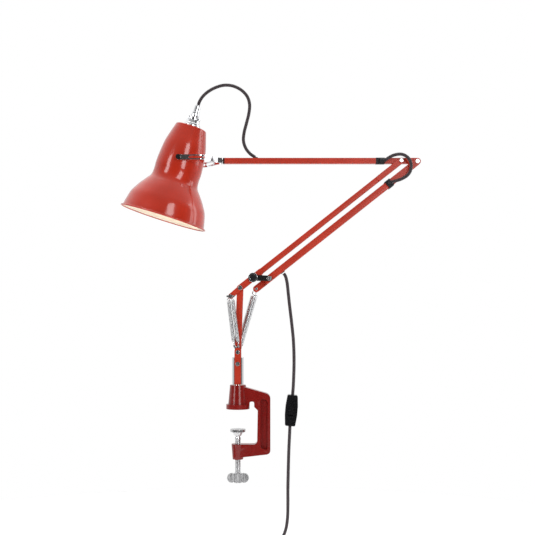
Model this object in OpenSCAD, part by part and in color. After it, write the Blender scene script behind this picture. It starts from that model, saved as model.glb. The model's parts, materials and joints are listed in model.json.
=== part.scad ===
// Spring-balanced architect desk lamp with a desk-edge clamp.
// Side-view points are written [x, z]; the arms lie in the plane y = 0.

/* [Desk clamp] */
// Gap between the upper jaw and the foot
jaw_gap = 34.5; // [12:0.5:44]
// Free height inside the casting, jaw face to lower arm
throat_h = 60; // [50:1:80]
// Distance from the spindle axis to the inside of the spine
throat_reach = 34; // [28:1:50]
// Depth of the spine, inside to outside
spine_w = 21.5; // [16:0.5:30]
// Thickness of the casting across the arms
casting_t = 18; // [14:0.5:26]
// Diameter of the round upper jaw
flange_d = 40; // [34:1:56]
// Height of the round upper jaw
flange_h = 8; // [4:0.5:12]
// Diameter of the spindle boss at its top
boss_d = 27; // [24:0.5:36]
// Height of the spindle boss above the desk
boss_h = 41; // [32:1:60]
// Diameter of the clamp screw
screw_d = 10; // [6:0.5:12]
// Length of the clamp screw
screw_len = 78; // [72:1:110]
// Diameter of the foot
foot_d = 26; // [20:1:34]
// Span of the wing grip, tip to tip
wing_span = 37; // [30:1:60]
// Height of the wing grip
wing_h = 16; // [12:0.5:24]

/* [Post] */
// Diameter of the turning spindle
spindle_d = 12; // [8:0.5:14]
// Diameter of the round block on the spindle
block_d = 20; // [18:0.5:26]
// Height of the round block
block_h = 46; // [36:1:60]
// Width of the two side strips
strip_w = 11; // [9:0.5:14]
// Thickness of the two side strips
strip_t = 2; // [1.5:0.25:3]
// Width of the upright, seen from the side
upright_w = 11; // [9:0.5:12]
// Height of the main pivot above the desk
pivot_h = 206.8; // [180:0.2:260]
// Distance of the main pivot in front of the spindle axis
pivot_x = 4; // [0:0.5:8]

/* [Arms] */
// Side of the square upper arm tube
arm_w = 9.5; // [8:0.25:12]
// Wall of the tubes
tube_wall = 1.2; // [0.8:0.1:1.6]
// Thickness of the cheek plates
cheek_t = 2; // [1.5:0.25:3]
// Main pivot to elbow, along the lower arm
main_len = 350; // [280:1:450]
// Slope of the lower arm
bar_angle = 38.3; // [25:0.1:70]
// Main pivot to link pivot, along the lower arm
lever_len = 28; // [24:0.5:40]
// Main pivot to the front springs, along the tail
tail_len = 22; // [18:0.5:30]
// Spacing of the two lower arms
link_len = 27.5; // [24:0.5:36]
// Slope of the link between the lower arms
link_angle = -3; // [-8:0.5:5]
// Width of the rear lower arm
rear_w = 11.5; // [10:0.25:13]
// Elbow to the shade pivot, along the upper arm
arm_reach = 376.3; // [300:0.1:450]
// Diameter of the pivot bolts
bolt_d = 5; // [4:0.25:6]

/* [Head] */
// Distance between the fork prongs
fork_gap = 83; // [81:0.5:110]
// Width of the fork strip
fork_w = 8.5; // [7:0.25:12]
// Thickness of the fork strip
fork_t = 1.8; // [1.2:0.1:3]
// Diameter of the shade at its rim
rim_d = 150; // [120:1:200]
// Height of the shade, rim to crown
shade_h = 163; // [140:1:220]
// Thickness of the spun shade
shade_wall = 1; // [0.8:0.1:2]
// Lean of the shade's axis from upright
shade_lean = 17.3; // [0:0.1:30]
// Diameter of the bulb
bulb_d = 60; // [40:1:64]

/* [Springs] */
// Outside diameter of the two front springs
front_spring_d = 6.6; // [5:0.2:7]
// Outside diameter of the rear spring
rear_spring_d = 12; // [8:0.5:14]

/* [Cable] */
// Diameter of the braided cable
cord_d = 5.5; // [4.5:0.25:6]
// Length of the in-line switch
switch_len = 53; // [44:1:70]
// Width of the in-line switch
switch_w = 21; // [18:0.5:30]

/* [Hidden] */
$fn = 48;

red = [0.72, 0.22, 0.16];
dark_red = [0.55, 0.08, 0.04];
black = [0.08, 0.08, 0.09];
chrome = [0.82, 0.83, 0.85];

// clearances
run_gap = 0.05;   // radial, bolt in its hole
side_gap = 0.35;  // beside a moving plate
seat_gap = 0.05;  // round piece seated in its own body
// depths, counted from the middle plane
core = arm_w / 2;
bar_half = core + 0.5;
cheek_out = bar_half + cheek_t;
link_in = cheek_out + side_gap;
link_out = link_in + cheek_t;
head_in = bar_half + side_gap;
head_out = head_in + cheek_t;

// side-view places of the pivots
function dir(a) = [cos(a), sin(a)];
link_off = link_len * dir(link_angle);
P_main = [pivot_x, pivot_h];
P_link = P_main + lever_len * dir(bar_angle);
P_elbow = P_main + main_len * dir(bar_angle);
P_rear = P_main + link_off;
P_rear_link = P_link + link_off;
P_head = P_elbow + link_off;
P_shade = P_elbow - [arm_reach, 0];
arm_z = P_elbow.y;
tail_drop = 3;                       // the tail bends down a little
P_tail = P_main - tail_len * dir(bar_angle + tail_drop);
arm_end = P_shade.x + 75;            // open end of the upper arm
tube_start = 10;                     // main tube clears the upright
tube_stop = main_len - 26;           // and the closing upper arm
sleeve_len = 10;
sleeve_at = main_len - 66;           // sleeve of the rear arm, from its lower end
outlet_at = 53;                      // cable outlet, from the rear arm's lower end
main_w = arm_w;

// post heights
block_bot = boss_h + 1.2;
block_top = block_bot + block_h;
bolt_low = block_top - 11;
bolt_high = block_top + 9;
strip_top = bolt_high + 7.5;
strip_in = block_d / 2 - 2;
strip_out = strip_in + strip_t;
upright_lean = atan2(pivot_x, pivot_h - bolt_high);
upright_len = norm([pivot_x, pivot_h - bolt_high]);
spring_y = core + 0.6 + front_spring_d / 2;
rear_spring_y = max(strip_out + 1.6, cheek_out + rear_spring_d / 2 - 1.5);

// clamp heights
bush_floor = 3;
spine_in = throat_reach;
spine_out = throat_reach + spine_w;
lower_h = 26;
foot_t = 5;
collar_h = 6;
foot_bot = -jaw_gap - foot_t;
screw_top = foot_bot + 1;
screw_bot = screw_top - screw_len;
wing_top = screw_bot + 6.5;

// cable routes, [x, y, z]; round numbers, straight out of each exit
shade_route = [[-68.2, 0, 518.3], [-65.2, 0, 526.5], [-59, 0, 535.5], [-49.5, 0, 543.5],
  [-37, 0, 550], [-23, 0, 553.5], [-8, 0, 552], [6, 0, 545], [16, 0, 534], [20, 0, 520],
  [18.5, 0, 504], [14.5, 0, 488], [10.5, 0, 472], [9.5, 0, 458], [13.5, 0, 445.5],
  [20.5, 0, 436.6], [25.5, 0, 432.9]];
elbow_route = [[250, -8.5, 423], [257, -10.5, 428], [266, -13, 432], [278, -14.5, 433],
  [288.5, -15, 427.5], [294, -15, 417], [293, -15, 405], [287, -14.5, 396.5],
  [277.5, -13.5, 391], [268, -12.2, 388], [261, -11.5, 386.6]];
upper_mains_route = [[78.3, 0, 231.5], [81, 0, 227.5], [83, 0, 221], [84.6, 0, 212], [88, 0, 180],
  [92, 0, 146], [95, 0, 115], [96, 0, 80], [95, 0, 45], [93.6, 0, 24]];
lower_mains_route = [[89, 0, -29], [88.2, 0, -47], [87.2, 0, -68], [86.5, 0, -90],
  [86, 0, -111], [85.5, 0, -135], [85.5, 0, -160], [85, 0, -185], [82, 0, -206],
  [75, 0, -224], [66, 0, -238], [57, 0, -250.5], [51.5, 0, -263]];
tail_route = [[49, 0, -287], [48, 0, -297], [47.5, 0, -307]];
switch_top = [93.6, 24];
switch_tilt = 5;
coil_mid = [85.5, -285];
coil_r = 31;
coil_turns_wide = 3;
plug_at = [47.5, -307];

// ---------- helpers ----------
module at(p, a = 0) translate([p.x, 0, p.y]) rotate([0, -a, 0]) children();
module slab(y0, y1) translate([0, y1, 0]) rotate([90, 0, 0]) linear_extrude(y1 - y0) children();
module pin(d, y0, y1) slab(y0, y1) circle(d = d);
module hex_nut(af, y0, y1) slab(y0, y1) circle(d = af / cos(30), $fn = 6);

// flat strap with round ends, from the origin along +x
module strap(len, w) {
  translate([0, -w / 2]) square([len, w]);
  circle(d = w);
  translate([len, 0]) circle(d = w);
}

// rectangular tube along +x
module box_tube(x0, x1, h, d) {
  difference() {
    translate([x0, -d / 2, -h / 2]) cube([x1 - x0, d, h]);
    translate([x0 - 1, -d / 2 + tube_wall, -h / 2 + tube_wall])
      cube([x1 - x0 + 2, d - 2 * tube_wall, h - 2 * tube_wall]);
  }
}

// bolt across the arms: shank, round head in front, nut behind
module bolt(front, back, head_d, head_h, nut_h) {
  pin(bolt_d, -front, back);
  pin(head_d, -front - head_h, -front);
  hex_nut(bolt_d * 1.6, back, back + nut_h);
}

// corner of an outline, turned into an arc
function corner(a, b, c, r, n = 6) =
  let(u = (a - b) / norm(a - b), v = (c - b) / norm(c - b),
      half = acos(u * v) / 2, d = r / tan(half),
      m = (u + v) / norm(u + v), o = b + m * r / sin(half),
      p = b + u * d - o, q = b + v * d - o,
      a0 = atan2(p.y, p.x), turn = atan2(p.x * q.y - p.y * q.x, p * q))
  [for (i = [0:n]) o + r * dir(a0 + turn * i / n)];
// outline of [x, y, radius] corners
function rounded(pts) = let(n = len(pts)) [for (i = [0:n - 1])
  each let(a = pts[(i + n - 1) % n], b = pts[i], c = pts[(i + 1) % n])
    b.z > 0 ? corner([a.x, a.y], [b.x, b.y], [c.x, c.y], b.z) : [[b.x, b.y]]];

// smooth curve through the points, n steps between two points
function bend(a, b, c, d, t) = 0.5 * (2 * b + (c - a) * t
  + (2 * a - 5 * b + 4 * c - d) * t * t + (3 * b - a - 3 * c + d) * t * t * t);
function smooth(p, n) = let(m = len(p) - 1) concat([for (i = [0:m - 1], k = [0:n - 1])
  bend(i == 0 ? 2 * p[0] - p[1] : p[i - 1], p[i], p[i + 1],
       i == m - 1 ? 2 * p[m] - p[m - 1] : p[i + 2], k / n)], [p[m]]);

// round tube along a path that never runs along y
module sweep(path, d, sides = 8) {
  m = len(path) - 1;
  function along(i) = let(v = path[min(i + 1, m)] - path[max(i - 1, 0)]) v / norm(v);
  function ring(i) = let(t = along(i), s = cross([0, 1, 0], t), u = s / norm(s), w = cross(t, u))
    [for (k = [0:sides - 1]) path[i] + d / 2 * (cos(360 * k / sides) * u + sin(360 * k / sides) * w)];
  polyhedron(
    points = [for (i = [0:m]) each ring(i)],
    faces = concat([[for (k = [0:sides - 1]) k]],
      [for (i = [0:m - 1], k = [0:sides - 1]) let(a = i * sides, n = (k + 1) % sides)
        [a + k, a + k + sides, a + n + sides, a + n]],
      [[for (k = [sides - 1:-1:0]) m * sides + k]]));
}

// ---------- desk clamp ----------
module casting_outline() {
  polygon(rounded([[-boss_d / 4, boss_h - 4, 0], [boss_d / 2, boss_h - 4, 0],
    [spine_out, boss_h - 16, 10], [spine_out, -throat_h - 16.4, 7],
    [boss_d / 4, -throat_h - lower_h + 4, 0], [-boss_d / 4, -throat_h - lower_h + 4, 0],
    [-boss_d / 4, -throat_h, 0], [spine_in - 1, -throat_h, 6], [spine_in, -2, 2],
    [spine_in - 6, 4, 1.5], [spine_in - 6, flange_h + 5, 3], [flange_d / 2, flange_h + 5, 3],
    [flange_d / 2, flange_h - 2, 0], [-boss_d / 4, flange_h - 2, 0]]));
}
// pockets that leave an I-shaped spine
module spine_pocket() {
  rim = spine_w * 0.22;
  polygon(rounded([[spine_in + rim, boss_h - 22, 4], [spine_out - rim, boss_h - 26, 4],
    [spine_out - rim, -throat_h - lower_h / 2 + 2, 4], [spine_in + rim, -throat_h - 6, 4]]));
}
module clamp_frame() {
  color(dark_red) difference() {
    union() {
      difference() {
        slab(-casting_t / 2, casting_t / 2) casting_outline();
        for (s = [-1, 1]) translate([0, s * casting_t / 2, 0])
          slab(-casting_t / 2 + 3, casting_t / 2 - 3) spine_pocket();
      }
      cylinder(d = flange_d, h = flange_h);
      translate([0, 0, flange_h]) cylinder(d1 = boss_d + 6, d2 = boss_d, h = boss_h - flange_h);
      translate([0, 0, -throat_h - lower_h]) cylinder(d1 = screw_d + 8, d2 = screw_d + 12, h = lower_h);
    }
    translate([0, 0, bush_floor]) cylinder(d = spindle_d + 5, h = boss_h);
    translate([0, 0, -throat_h - lower_h - 1]) cylinder(d = screw_d + 2 * run_gap, h = lower_h + 2);
  }
}
module spindle_bush() {
  color("goldenrod") translate([0, 0, bush_floor]) difference() {
    cylinder(d = spindle_d + 5 - 2 * seat_gap, h = boss_h - bush_floor);
    translate([0, 0, 2]) cylinder(d = spindle_d + 2 * run_gap, h = boss_h);
  }
}
module clamp_foot() {
  color(chrome) difference() {
    union() {
      translate([0, 0, foot_bot]) cylinder(d = foot_d, h = foot_t);
      translate([0, 0, foot_bot - collar_h]) cylinder(d1 = screw_d + 3, d2 = screw_d + 8, h = collar_h);
    }
    translate([0, 0, foot_bot - collar_h - 1]) cylinder(d = screw_d + 2 * run_gap, h = collar_h + 2.2);
  }
}
module clamp_screw() {
  color(chrome) translate([0, 0, screw_bot]) cylinder(d = screw_d, h = screw_len);
}
module screw_wing() {
  hub_d = screw_d + 3.5;
  color(chrome) difference() {
    union() {
      translate([0, 0, wing_top - wing_h]) cylinder(d = hub_d, h = wing_h);
      for (s = [0, 1]) mirror([s, 0, 0]) slab(-2.5, 2.5) {
        translate([wing_span / 2 - wing_h / 2, wing_top - wing_h / 2]) circle(d = wing_h);
        translate([0, wing_top - wing_h + 2.5]) square([wing_span / 2 - wing_h / 2, wing_h - 4]);
      }
    }
    translate([0, 0, screw_bot]) cylinder(d = screw_d + 2 * seat_gap, h = screw_len);
  }
}

// ---------- turning post ----------
module spindle() {
  color(chrome) translate([0, 0, bush_floor + 2.3]) cylinder(d = spindle_d, h = block_bot - bush_floor - 2.3);
}
module spindle_block() {
  color(chrome) difference() {
    translate([0, 0, block_bot]) cylinder(d = block_d, h = block_h);
    for (s = [-1, 1]) translate([-block_d, s * (strip_in + 5) - 5, block_bot - 1])
      cube([2 * block_d, 10, block_h + 2]);
    at([0, bolt_low]) pin(bolt_d + 2 * run_gap, -block_d, block_d);
  }
}
module post_strip(y0) {
  color(red) difference() {
    at([0, block_bot], 90) slab(y0, y0 + strip_t) {
      translate([0, -strip_w / 2]) square([strip_top - block_bot - strip_w / 2, strip_w]);
      translate([strip_top - block_bot - strip_w / 2, 0]) circle(d = strip_w);
    }
    for (z = [bolt_low, bolt_high]) at([0, z]) pin(bolt_d + 2 * run_gap, y0 - 1, y0 + strip_t + 1);
  }
}
module post_strip_front() { post_strip(-strip_out); }
module post_strip_back() { post_strip(strip_in); }
module post_bolts() {
  color(chrome) {
    at([0, bolt_low]) bolt(strip_out, strip_out, bolt_d + 2.2, 2, 3);
    at([0, bolt_high]) bolt(strip_out, rear_spring_y + 3, bolt_d + 2.2, 2, 3);
  }
}
module upright() {
  color(red) difference() {
    at([0, bolt_high], 90 - upright_lean) {
      slab(-core, core) strap(upright_len, upright_w);
    }
    at([0, bolt_high], 90 - upright_lean) translate([upright_w / 2 + 4, -core + tube_wall, -upright_w / 2 + tube_wall])
      cube([upright_len - upright_w - 8, 2 * core - 2 * tube_wall, upright_w - 2 * tube_wall]);
    at([0, bolt_high]) pin(bolt_d + 2 * run_gap, -block_d, block_d);
    at(P_main) pin(bolt_d + 2 * run_gap, -block_d, block_d);
  }
}
module lower_spring_yoke() {
  color(chrome) difference() {
    at([0, bolt_high]) slab(-strip_in + 0.3, -core - 0.3) {
      circle(d = bolt_d + 4);
      for (x = [-6.2, 1]) hull() {
        circle(d = bolt_d);
        translate([x, 11]) circle(d = 3.4);
      }
    }
    at([0, bolt_high]) pin(bolt_d + 2 * run_gap, -block_d, block_d);
  }
}
// straight spring body between two side-view points, with a solid wire hook at each end
module spring_body(a, b, y, d, hook) {
  len = norm(b - a);
  translate([a.x, y, a.y]) rotate([0, atan2(b.x - a.x, b.y - a.y), 0]) {
    translate([0, 0, hook]) cylinder(d = d, h = len - 2 * hook);
    cylinder(d = 1.4, h = len);
  }
}
module front_spring_left() {
  color(chrome) spring_body([-6.8, bolt_high + 14], P_tail + [-3.4, -3.6], -spring_y, front_spring_d, 3);
}
module front_spring_right() {
  color(chrome) spring_body([0.6, bolt_high + 14], P_tail + [3.8, -3.6], -spring_y, front_spring_d, 3);
}
module rear_spring() {
  color(chrome) spring_body([0, bolt_high + bolt_d / 2 + 0.4], P_rear - [1.4, bolt_d / 2 + 0.6],
    rear_spring_y, rear_spring_d, 8);
}

// ---------- main lower arm ----------
module lever_plate(y0) {
  color(red) difference() {
    slab(y0, y0 + cheek_t) {
      translate(P_main) rotate(bar_angle) strap(lever_len + 16, main_w + 1);
      translate(P_tail) rotate(bar_angle + tail_drop) strap(tail_len, main_w - 1);
    }
    for (p = [P_main, P_link]) at(p) pin(bolt_d + 2 * run_gap, y0 - 1, y0 + cheek_t + 1);
    at(P_tail) pin(3 + 2 * run_gap, y0 - 1, y0 + cheek_t + 1);
  }
}
module lever_plate_front() { lever_plate(-cheek_out); }
module lever_plate_back() { lever_plate(bar_half); }
module main_tube() {
  color(red) difference() {
    at(P_main, bar_angle) box_tube(tube_start, tube_stop, main_w, 2 * bar_half);
    at(P_link) pin(bolt_d + 2 * run_gap, -block_d, block_d);
  }
}
module main_pivot_bolt() {
  color(chrome) at(P_main) bolt(cheek_out, cheek_out, bolt_d + 3, 2, 3);
}
// yoke on the front of the tail that carries both front springs
module upper_spring_yoke() {
  color(chrome) at(P_tail) {
    pin(3, -cheek_out - 1.5, -bar_half);
    slab(-cheek_out - 1.5, -cheek_out) {
      translate([-5, -1.8]) square([10.4, 3.6]);
      for (x = [-5, 5.4]) translate([x, 0]) circle(d = 3.6);
    }
    pin(7, -cheek_out - 3, -cheek_out - 1.5);
  }
}
module link_pivot_bolt() {
  color(chrome) at(P_link) {
    pin(bolt_d, -link_out - 0.4, link_out + 0.4);
    hex_nut(bolt_d * 1.6, link_out + 0.4, link_out + 3.4);
  }
}
module link_pivot_ring() {
  color(chrome) at(P_link) difference() {
    pin(16.4, -link_out - 2, -link_out - 0.4);
    pin(10, -link_out - 3, -link_out - 0.3);
  }
}
module link_pivot_cap() {
  color(black) at(P_link) pin(9.8, -link_out - 3, -link_out - 0.4);
}
module elbow_cheek(y0) {
  len = 48;
  color(red) difference() {
    at(P_main, bar_angle) translate([main_len - len, 0, 0]) slab(y0, y0 + cheek_t) strap(len, main_w);
    at(P_elbow) pin(bolt_d + 2 * run_gap, y0 - 1, y0 + cheek_t + 1);
  }
}
module elbow_cheek_front() { elbow_cheek(-cheek_out); }
module elbow_cheek_back() { elbow_cheek(bar_half); }
module elbow_bolt() {
  color(chrome) at(P_elbow) bolt(cheek_out, cheek_out, bolt_d + 2, 2, 2.5);
}

// ---------- link ----------
module link_plate(y0) {
  color(black) difference() {
    at(P_link, link_angle) slab(y0, y0 + cheek_t) strap(link_len, 9.4);
    for (p = [P_link, P_rear_link]) at(p) pin(bolt_d + 2 * run_gap, y0 - 1, y0 + cheek_t + 1);
  }
}
module link_front() { link_plate(-link_out); }
module link_back() { link_plate(link_in); }

// ---------- rear lower arm ----------
module rear_tube() {
  color(red) difference() {
    at(P_rear, bar_angle) box_tube(lever_len - 9, sleeve_at + sleeve_len - 2, rear_w, 2 * bar_half);
    at(P_rear_link) pin(bolt_d + 2 * run_gap, -block_d, block_d);
    at(P_rear, bar_angle) translate([outlet_at, 0, -rear_w]) cylinder(d = cord_d + 1.5, h = rear_w);
  }
}
module rear_lever() {
  color(red) difference() {
    at(P_rear, bar_angle) slab(bar_half, cheek_out) strap(lever_len + 12, rear_w);
    at(P_rear) pin(bolt_d + 2 * run_gap, 0, block_d);
    at(P_rear_link) pin(bolt_d + 2 * run_gap, 0, block_d);
  }
}
module rear_link_bolt() {
  color(chrome) at(P_rear_link) bolt(link_out + 0.4, link_out + 0.4, bolt_d + 3, 2, 3);
}
module rear_spring_pin() {
  color(chrome) at(P_rear) {
    pin(bolt_d, bar_half, rear_spring_y + 3);
    pin(bolt_d + 3, rear_spring_y + 3, rear_spring_y + 4.5);
  }
}
module cable_outlet() {
  color(black) at(P_rear, bar_angle) translate([outlet_at, 0, -rear_w / 2]) difference() {
    union() {
      translate([0, 0, -1]) cylinder(d = cord_d + 3, h = 1);
      cylinder(d = cord_d + 1.4, h = tube_wall);
    }
    translate([0, 0, -4]) cylinder(d = cord_d + 0.2, h = 8);
  }
}
module rear_head_cheeks() {
  len = main_len - sleeve_at;
  color(red) difference() {
    for (y0 = [-head_out, head_in]) at(P_rear, bar_angle) translate([sleeve_at, 0, 0])
      slab(y0, y0 + cheek_t) {
        translate([0, -rear_w / 2]) square([len, rear_w]);
        translate([len, 0]) circle(d = rear_w);
      }
    at(P_head) pin(bolt_d + 2 * run_gap, -block_d, block_d);
  }
}
module rear_head_block() {
  color(red) at(P_rear, bar_angle) translate([sleeve_at + sleeve_len + 3, -head_in, -rear_w / 2 + 0.5])
    cube([9, 2 * head_in, rear_w - 1]);
}
module rear_head_bolt() {
  color(chrome) at(P_head) bolt(head_out, head_out, bolt_d + 2, 2, 2.5);
}
module lower_sleeve() {
  color(black) difference() {
    union() {
      at(P_rear, bar_angle) translate([sleeve_at, -head_out - 1, -rear_w / 2 - 1.3])
        cube([sleeve_len, 2 * head_out + 2, rear_w + 2.6]);
      at(P_rear, bar_angle) translate([sleeve_at + 7.6, -head_out - 4.25, 0.5])
        rotate([0, bar_angle - 96, 0]) cylinder(d = cord_d + 2, h = 5);
    }
    at(P_rear, bar_angle) translate([sleeve_at - 1, -head_out, -rear_w / 2 - side_gap])
      cube([sleeve_len + 2, 2 * head_out, rear_w + 2 * side_gap]);
  }
}

// ---------- upper arm ----------
module arm_tube() {
  color(red) difference() {
    union() {
      translate([0, 0, arm_z]) box_tube(arm_end, P_head.x - 6, arm_w, 2 * core);
      at([P_head.x - 6, arm_z]) slab(-core, core) strap(6, arm_w);
      translate([P_elbow.x - 7, -core, arm_z - arm_w / 2]) cube([14, 2 * core, arm_w]);
    }
    for (p = [P_elbow, P_head]) at(p) pin(bolt_d + 2 * run_gap, -block_d, block_d);
  }
}
module arm_end_plug() {
  color([0.25, 0.13, 0.1]) difference() {
    translate([0, 0, arm_z]) {
      translate([arm_end, -core + tube_wall, -arm_w / 2 + tube_wall])
        cube([18, 2 * core - 2 * tube_wall, arm_w - 2 * tube_wall]);
      translate([arm_end - 3, -core, -arm_w / 2]) cube([3, 2 * core, arm_w]);
    }
    translate([arm_end - 5, 0, arm_z]) rotate([0, 90, 0]) cylinder(d = bolt_d + 2 * seat_gap, h = 17);
  }
}
module swivel_stud() {
  color(chrome) translate([arm_end - 3, 0, arm_z]) rotate([0, -90, 0]) {
    translate([0, 0, -13]) cylinder(d = bolt_d, h = 13);
    cylinder(d = bolt_d + 4, h = 1);
    cylinder(d = bolt_d, h = 6);
    translate([0, 0, 1 + fork_t + 0.4]) cylinder(d = bolt_d * 1.6 / cos(30), h = 3.4, $fn = 6);
  }
}
module upper_sleeve() {
  color(black) translate([0, 0, arm_z]) difference() {
    union() {
      translate([P_elbow.x - 43.2, -core - 0.4, -arm_w / 2 - 0.4]) cube([15, 2 * core + 0.8, arm_w + 0.8]);
      translate([P_elbow.x - 36.7, -core - 3.45, -0.9]) rotate([0, 90, 0]) cylinder(d = cord_d + 2.4, h = 8);
    }
    translate([P_elbow.x - 60, -core, -arm_w / 2]) cube([60, 2 * core, arm_w]);
  }
}
module arm_grommet() {
  color(black) translate([arm_end + 52.6, 0, arm_z + arm_w / 2])
    cylinder(d1 = cord_d + 3.4, d2 = cord_d + 2.4, h = 1.8);
}

// ---------- fork ----------
// middle line of one prong in the top view: crotch, curve, straight prong
fork_in = fork_gap / 2;
fork_back = arm_end - 4 - fork_t - 0.2;
fork_tip = P_shade.x - 7;
function prong_y(x) = let(s = min(1, max(0, (fork_back - x) / 34))) 7 + (fork_in - 7) * (s * s * (3 - 2 * s));
function prong(off) = [for (i = [0:14]) let(x = fork_back - 34 * i / 14,
    slope = (prong_y(x - 0.1) - prong_y(x)) / 0.1, n = norm([1, slope]))
  [x - off * slope / n * -1, prong_y(x) + off / n]];
module fork() {
  color(chrome) difference() {
    translate([0, 0, arm_z]) for (s = [0, 1]) mirror([0, s, 0]) {
      translate([0, 0, -fork_w / 2]) linear_extrude(fork_w) polygon(concat(
        [[fork_back + fork_t, 0], [fork_back, 0]], prong(0),
        [[P_shade.x, fork_in]], [[P_shade.x, fork_in + fork_t]],
        [for (i = [14:-1:0]) prong(fork_t)[i]], [[fork_back + fork_t, 7.4]]));
      translate([P_shade.x, fork_in, 0]) rotate([-90, 0, 0]) cylinder(d = fork_w, h = fork_t);
    }
    for (x = [[28, 9], [47, 18]]) translate([arm_end - x[0], 0, arm_z]) slab(-80, 80)
      translate([0, 0]) { translate([-x[1] / 2, -2]) square([x[1], 4]);
        for (e = [-1, 1]) translate([e * x[1] / 2, 0]) circle(d = 4); }
    translate([arm_end - 20, 0, arm_z]) rotate([0, 90, 0]) cylinder(d = bolt_d + 2 * run_gap, h = 20);
    at(P_shade) pin(bolt_d + 2 * run_gap, -80, 80);
  }
}

// ---------- shade and lampholder ----------
// axis frame: origin on the rim plane, +z up the shade's axis
pivot_up = shade_h * 0.63;
module shade_frame() at(P_shade) rotate([0, shade_lean, 0]) translate([0, 0, -pivot_up]) children();
// outer profile as [share of height, share of rim radius]
profile = [[0.022, 0.957], [0.105, 0.918], [0.178, 0.873], [0.24, 0.8], [0.3, 0.715],
  [0.352, 0.63], [0.395, 0.56], [0.44, 0.534], [0.5, 0.53], [0.545, 0.535], [0.64, 0.523],
  [0.786, 0.484], [0.9, 0.418], [0.985, 0.362]];
shell = [for (p = smooth(profile, 3)) [p.y * rim_d / 2, p.x * shade_h]];
neck_r = 0.523 * rim_d / 2;
holder_r = 15.5;
module shade() {
  n = len(shell) - 1;
  function inward(i) = let(v = shell[min(i + 1, n)] - shell[max(i - 1, 0)]) [-v.y, v.x] / norm(v);
  color(red) difference() {
    shade_frame() rotate_extrude($fn = 96) polygon(concat(
      [[rim_d / 2 - 1.2, 0], [rim_d / 2, 0.8], [rim_d / 2, 2], [rim_d / 2 - 1.2, 2.8]],
      shell,
      [[shell[n].x - 2.5, shade_h], [10.4, shade_h], [10.4, shade_h - shade_wall]],
      [[shell[n].x - 3, shade_h - shade_wall]],
      [for (i = [n:-1:0]) shell[i] + shade_wall * inward(i)]));
    at(P_shade) pin(bolt_d + 2 * run_gap, -rim_d, rim_d);
  }
}
module shade_pivot_bolts() {
  gap_in = neck_r - shade_wall;
  color(black) for (s = [0, 1]) mirror([0, s, 0]) at(P_shade) {
    pin(bolt_d, gap_in - 4, fork_in + fork_t + 0.3);
    pin(fork_w, fork_in + fork_t + 0.3, fork_in + fork_t + 4.3);
    hex_nut(bolt_d * 1.6, gap_in - 4, gap_in - 1.2);
  }
}
module holder_skirt() {
  color(chrome) shade_frame() rotate_extrude() polygon([[10.2, shade_h + 0.05],
    [holder_r, shade_h + 0.05], [holder_r, shade_h + 3], [holder_r - 2.5, shade_h + 6],
    [10.6, shade_h + 12.5], [9.2, shade_h + 12.5], [9.2, shade_h + 2], [10.2, shade_h + 2]]);
}
module holder_ring() {
  color(chrome) shade_frame() translate([0, 0, shade_h + 12.6]) difference() {
    cylinder(d = 21, h = 5);
    translate([0, 0, -1]) cylinder(d = cord_d + 2.6, h = 7);
  }
}
module cable_grip() {
  color(chrome) shade_frame() translate([0, 0, shade_h + 17.7]) difference() {
    union() {
      cylinder(d = 14.2, h = 5);
      translate([0, 0, 5]) cylinder(d1 = 13, d2 = 10.6, h = 16);
    }
    translate([0, 0, -1]) cylinder(d = cord_d + 0.2, h = 30);
  }
}
module lampholder() {
  color(black) shade_frame() difference() {
    union() {
      translate([0, 0, shade_h - 34]) cylinder(d = 34, h = 31);
      translate([0, 0, shade_h - 3]) cylinder(d = 18, h = 14);
    }
    translate([0, 0, shade_h - 35]) cylinder(d = 27, h = 28);
  }
}
module bulb_base() {
  color("silver") shade_frame() translate([0, 0, shade_h - 32]) cylinder(d = 26, h = 24.5);
}
bulb_z = shade_h - 32 - 20 - bulb_d / 2;
glass_wall = 1;
bulb_shoulder = 38;  // angle at which the globe runs into the neck
function globe(r) = [for (a = [-90:8:bulb_shoulder]) [0, bulb_z] + r * dir(a)];
function turned_back(p) = [for (i = [len(p) - 1:-1:0]) p[i]];
function bulb_line(r, neck) = concat(globe(r), [[neck, shade_h - 38], [neck, shade_h - 32.1]]);
module bulb_glass() {
  color([1, 0.97, 0.88]) shade_frame() rotate_extrude() polygon(concat(
    bulb_line(bulb_d / 2, 13), turned_back(bulb_line(bulb_d / 2 - glass_wall, 13 - glass_wall))));
}

// ---------- cables ----------
module shade_cord() { color(black) sweep(smooth(shade_route, 1), cord_d); }
module elbow_cord() { color(black) sweep(smooth(elbow_route, 1), cord_d); }
module mains_cord() {
  color(black) {
    sweep(smooth(upper_mains_route, 1), cord_d);
    sweep(smooth(lower_mains_route, 1), cord_d);
    sweep(tail_route, cord_d);
  }
}
module mains_coil() {
  half = coil_turns_wide * cord_d / 2;
  color(black) at(coil_mid) rotate([90, 0, 0]) rotate_extrude()
    polygon(rounded([[coil_r - half, -half, 4], [coil_r + half, -half, 4],
      [coil_r + half, half, 4], [coil_r - half, half, 4]]));
}
module coil_tie() {
  half = coil_turns_wide * cord_d / 2 + 0.2;
  color([0.3, 0.3, 0.32]) at(coil_mid) rotate([0, -52, 0]) translate([coil_r, 0, -4]) difference() {
    translate([-half - 1.2, -half - 1.2, 0]) cube([2 * half + 2.4 + cord_d + 1, 2 * half + 2.4, 8]);
    translate([-half, -half, -1]) cube([2 * half + cord_d + 1, 2 * half, 10]);
  }
}
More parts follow.
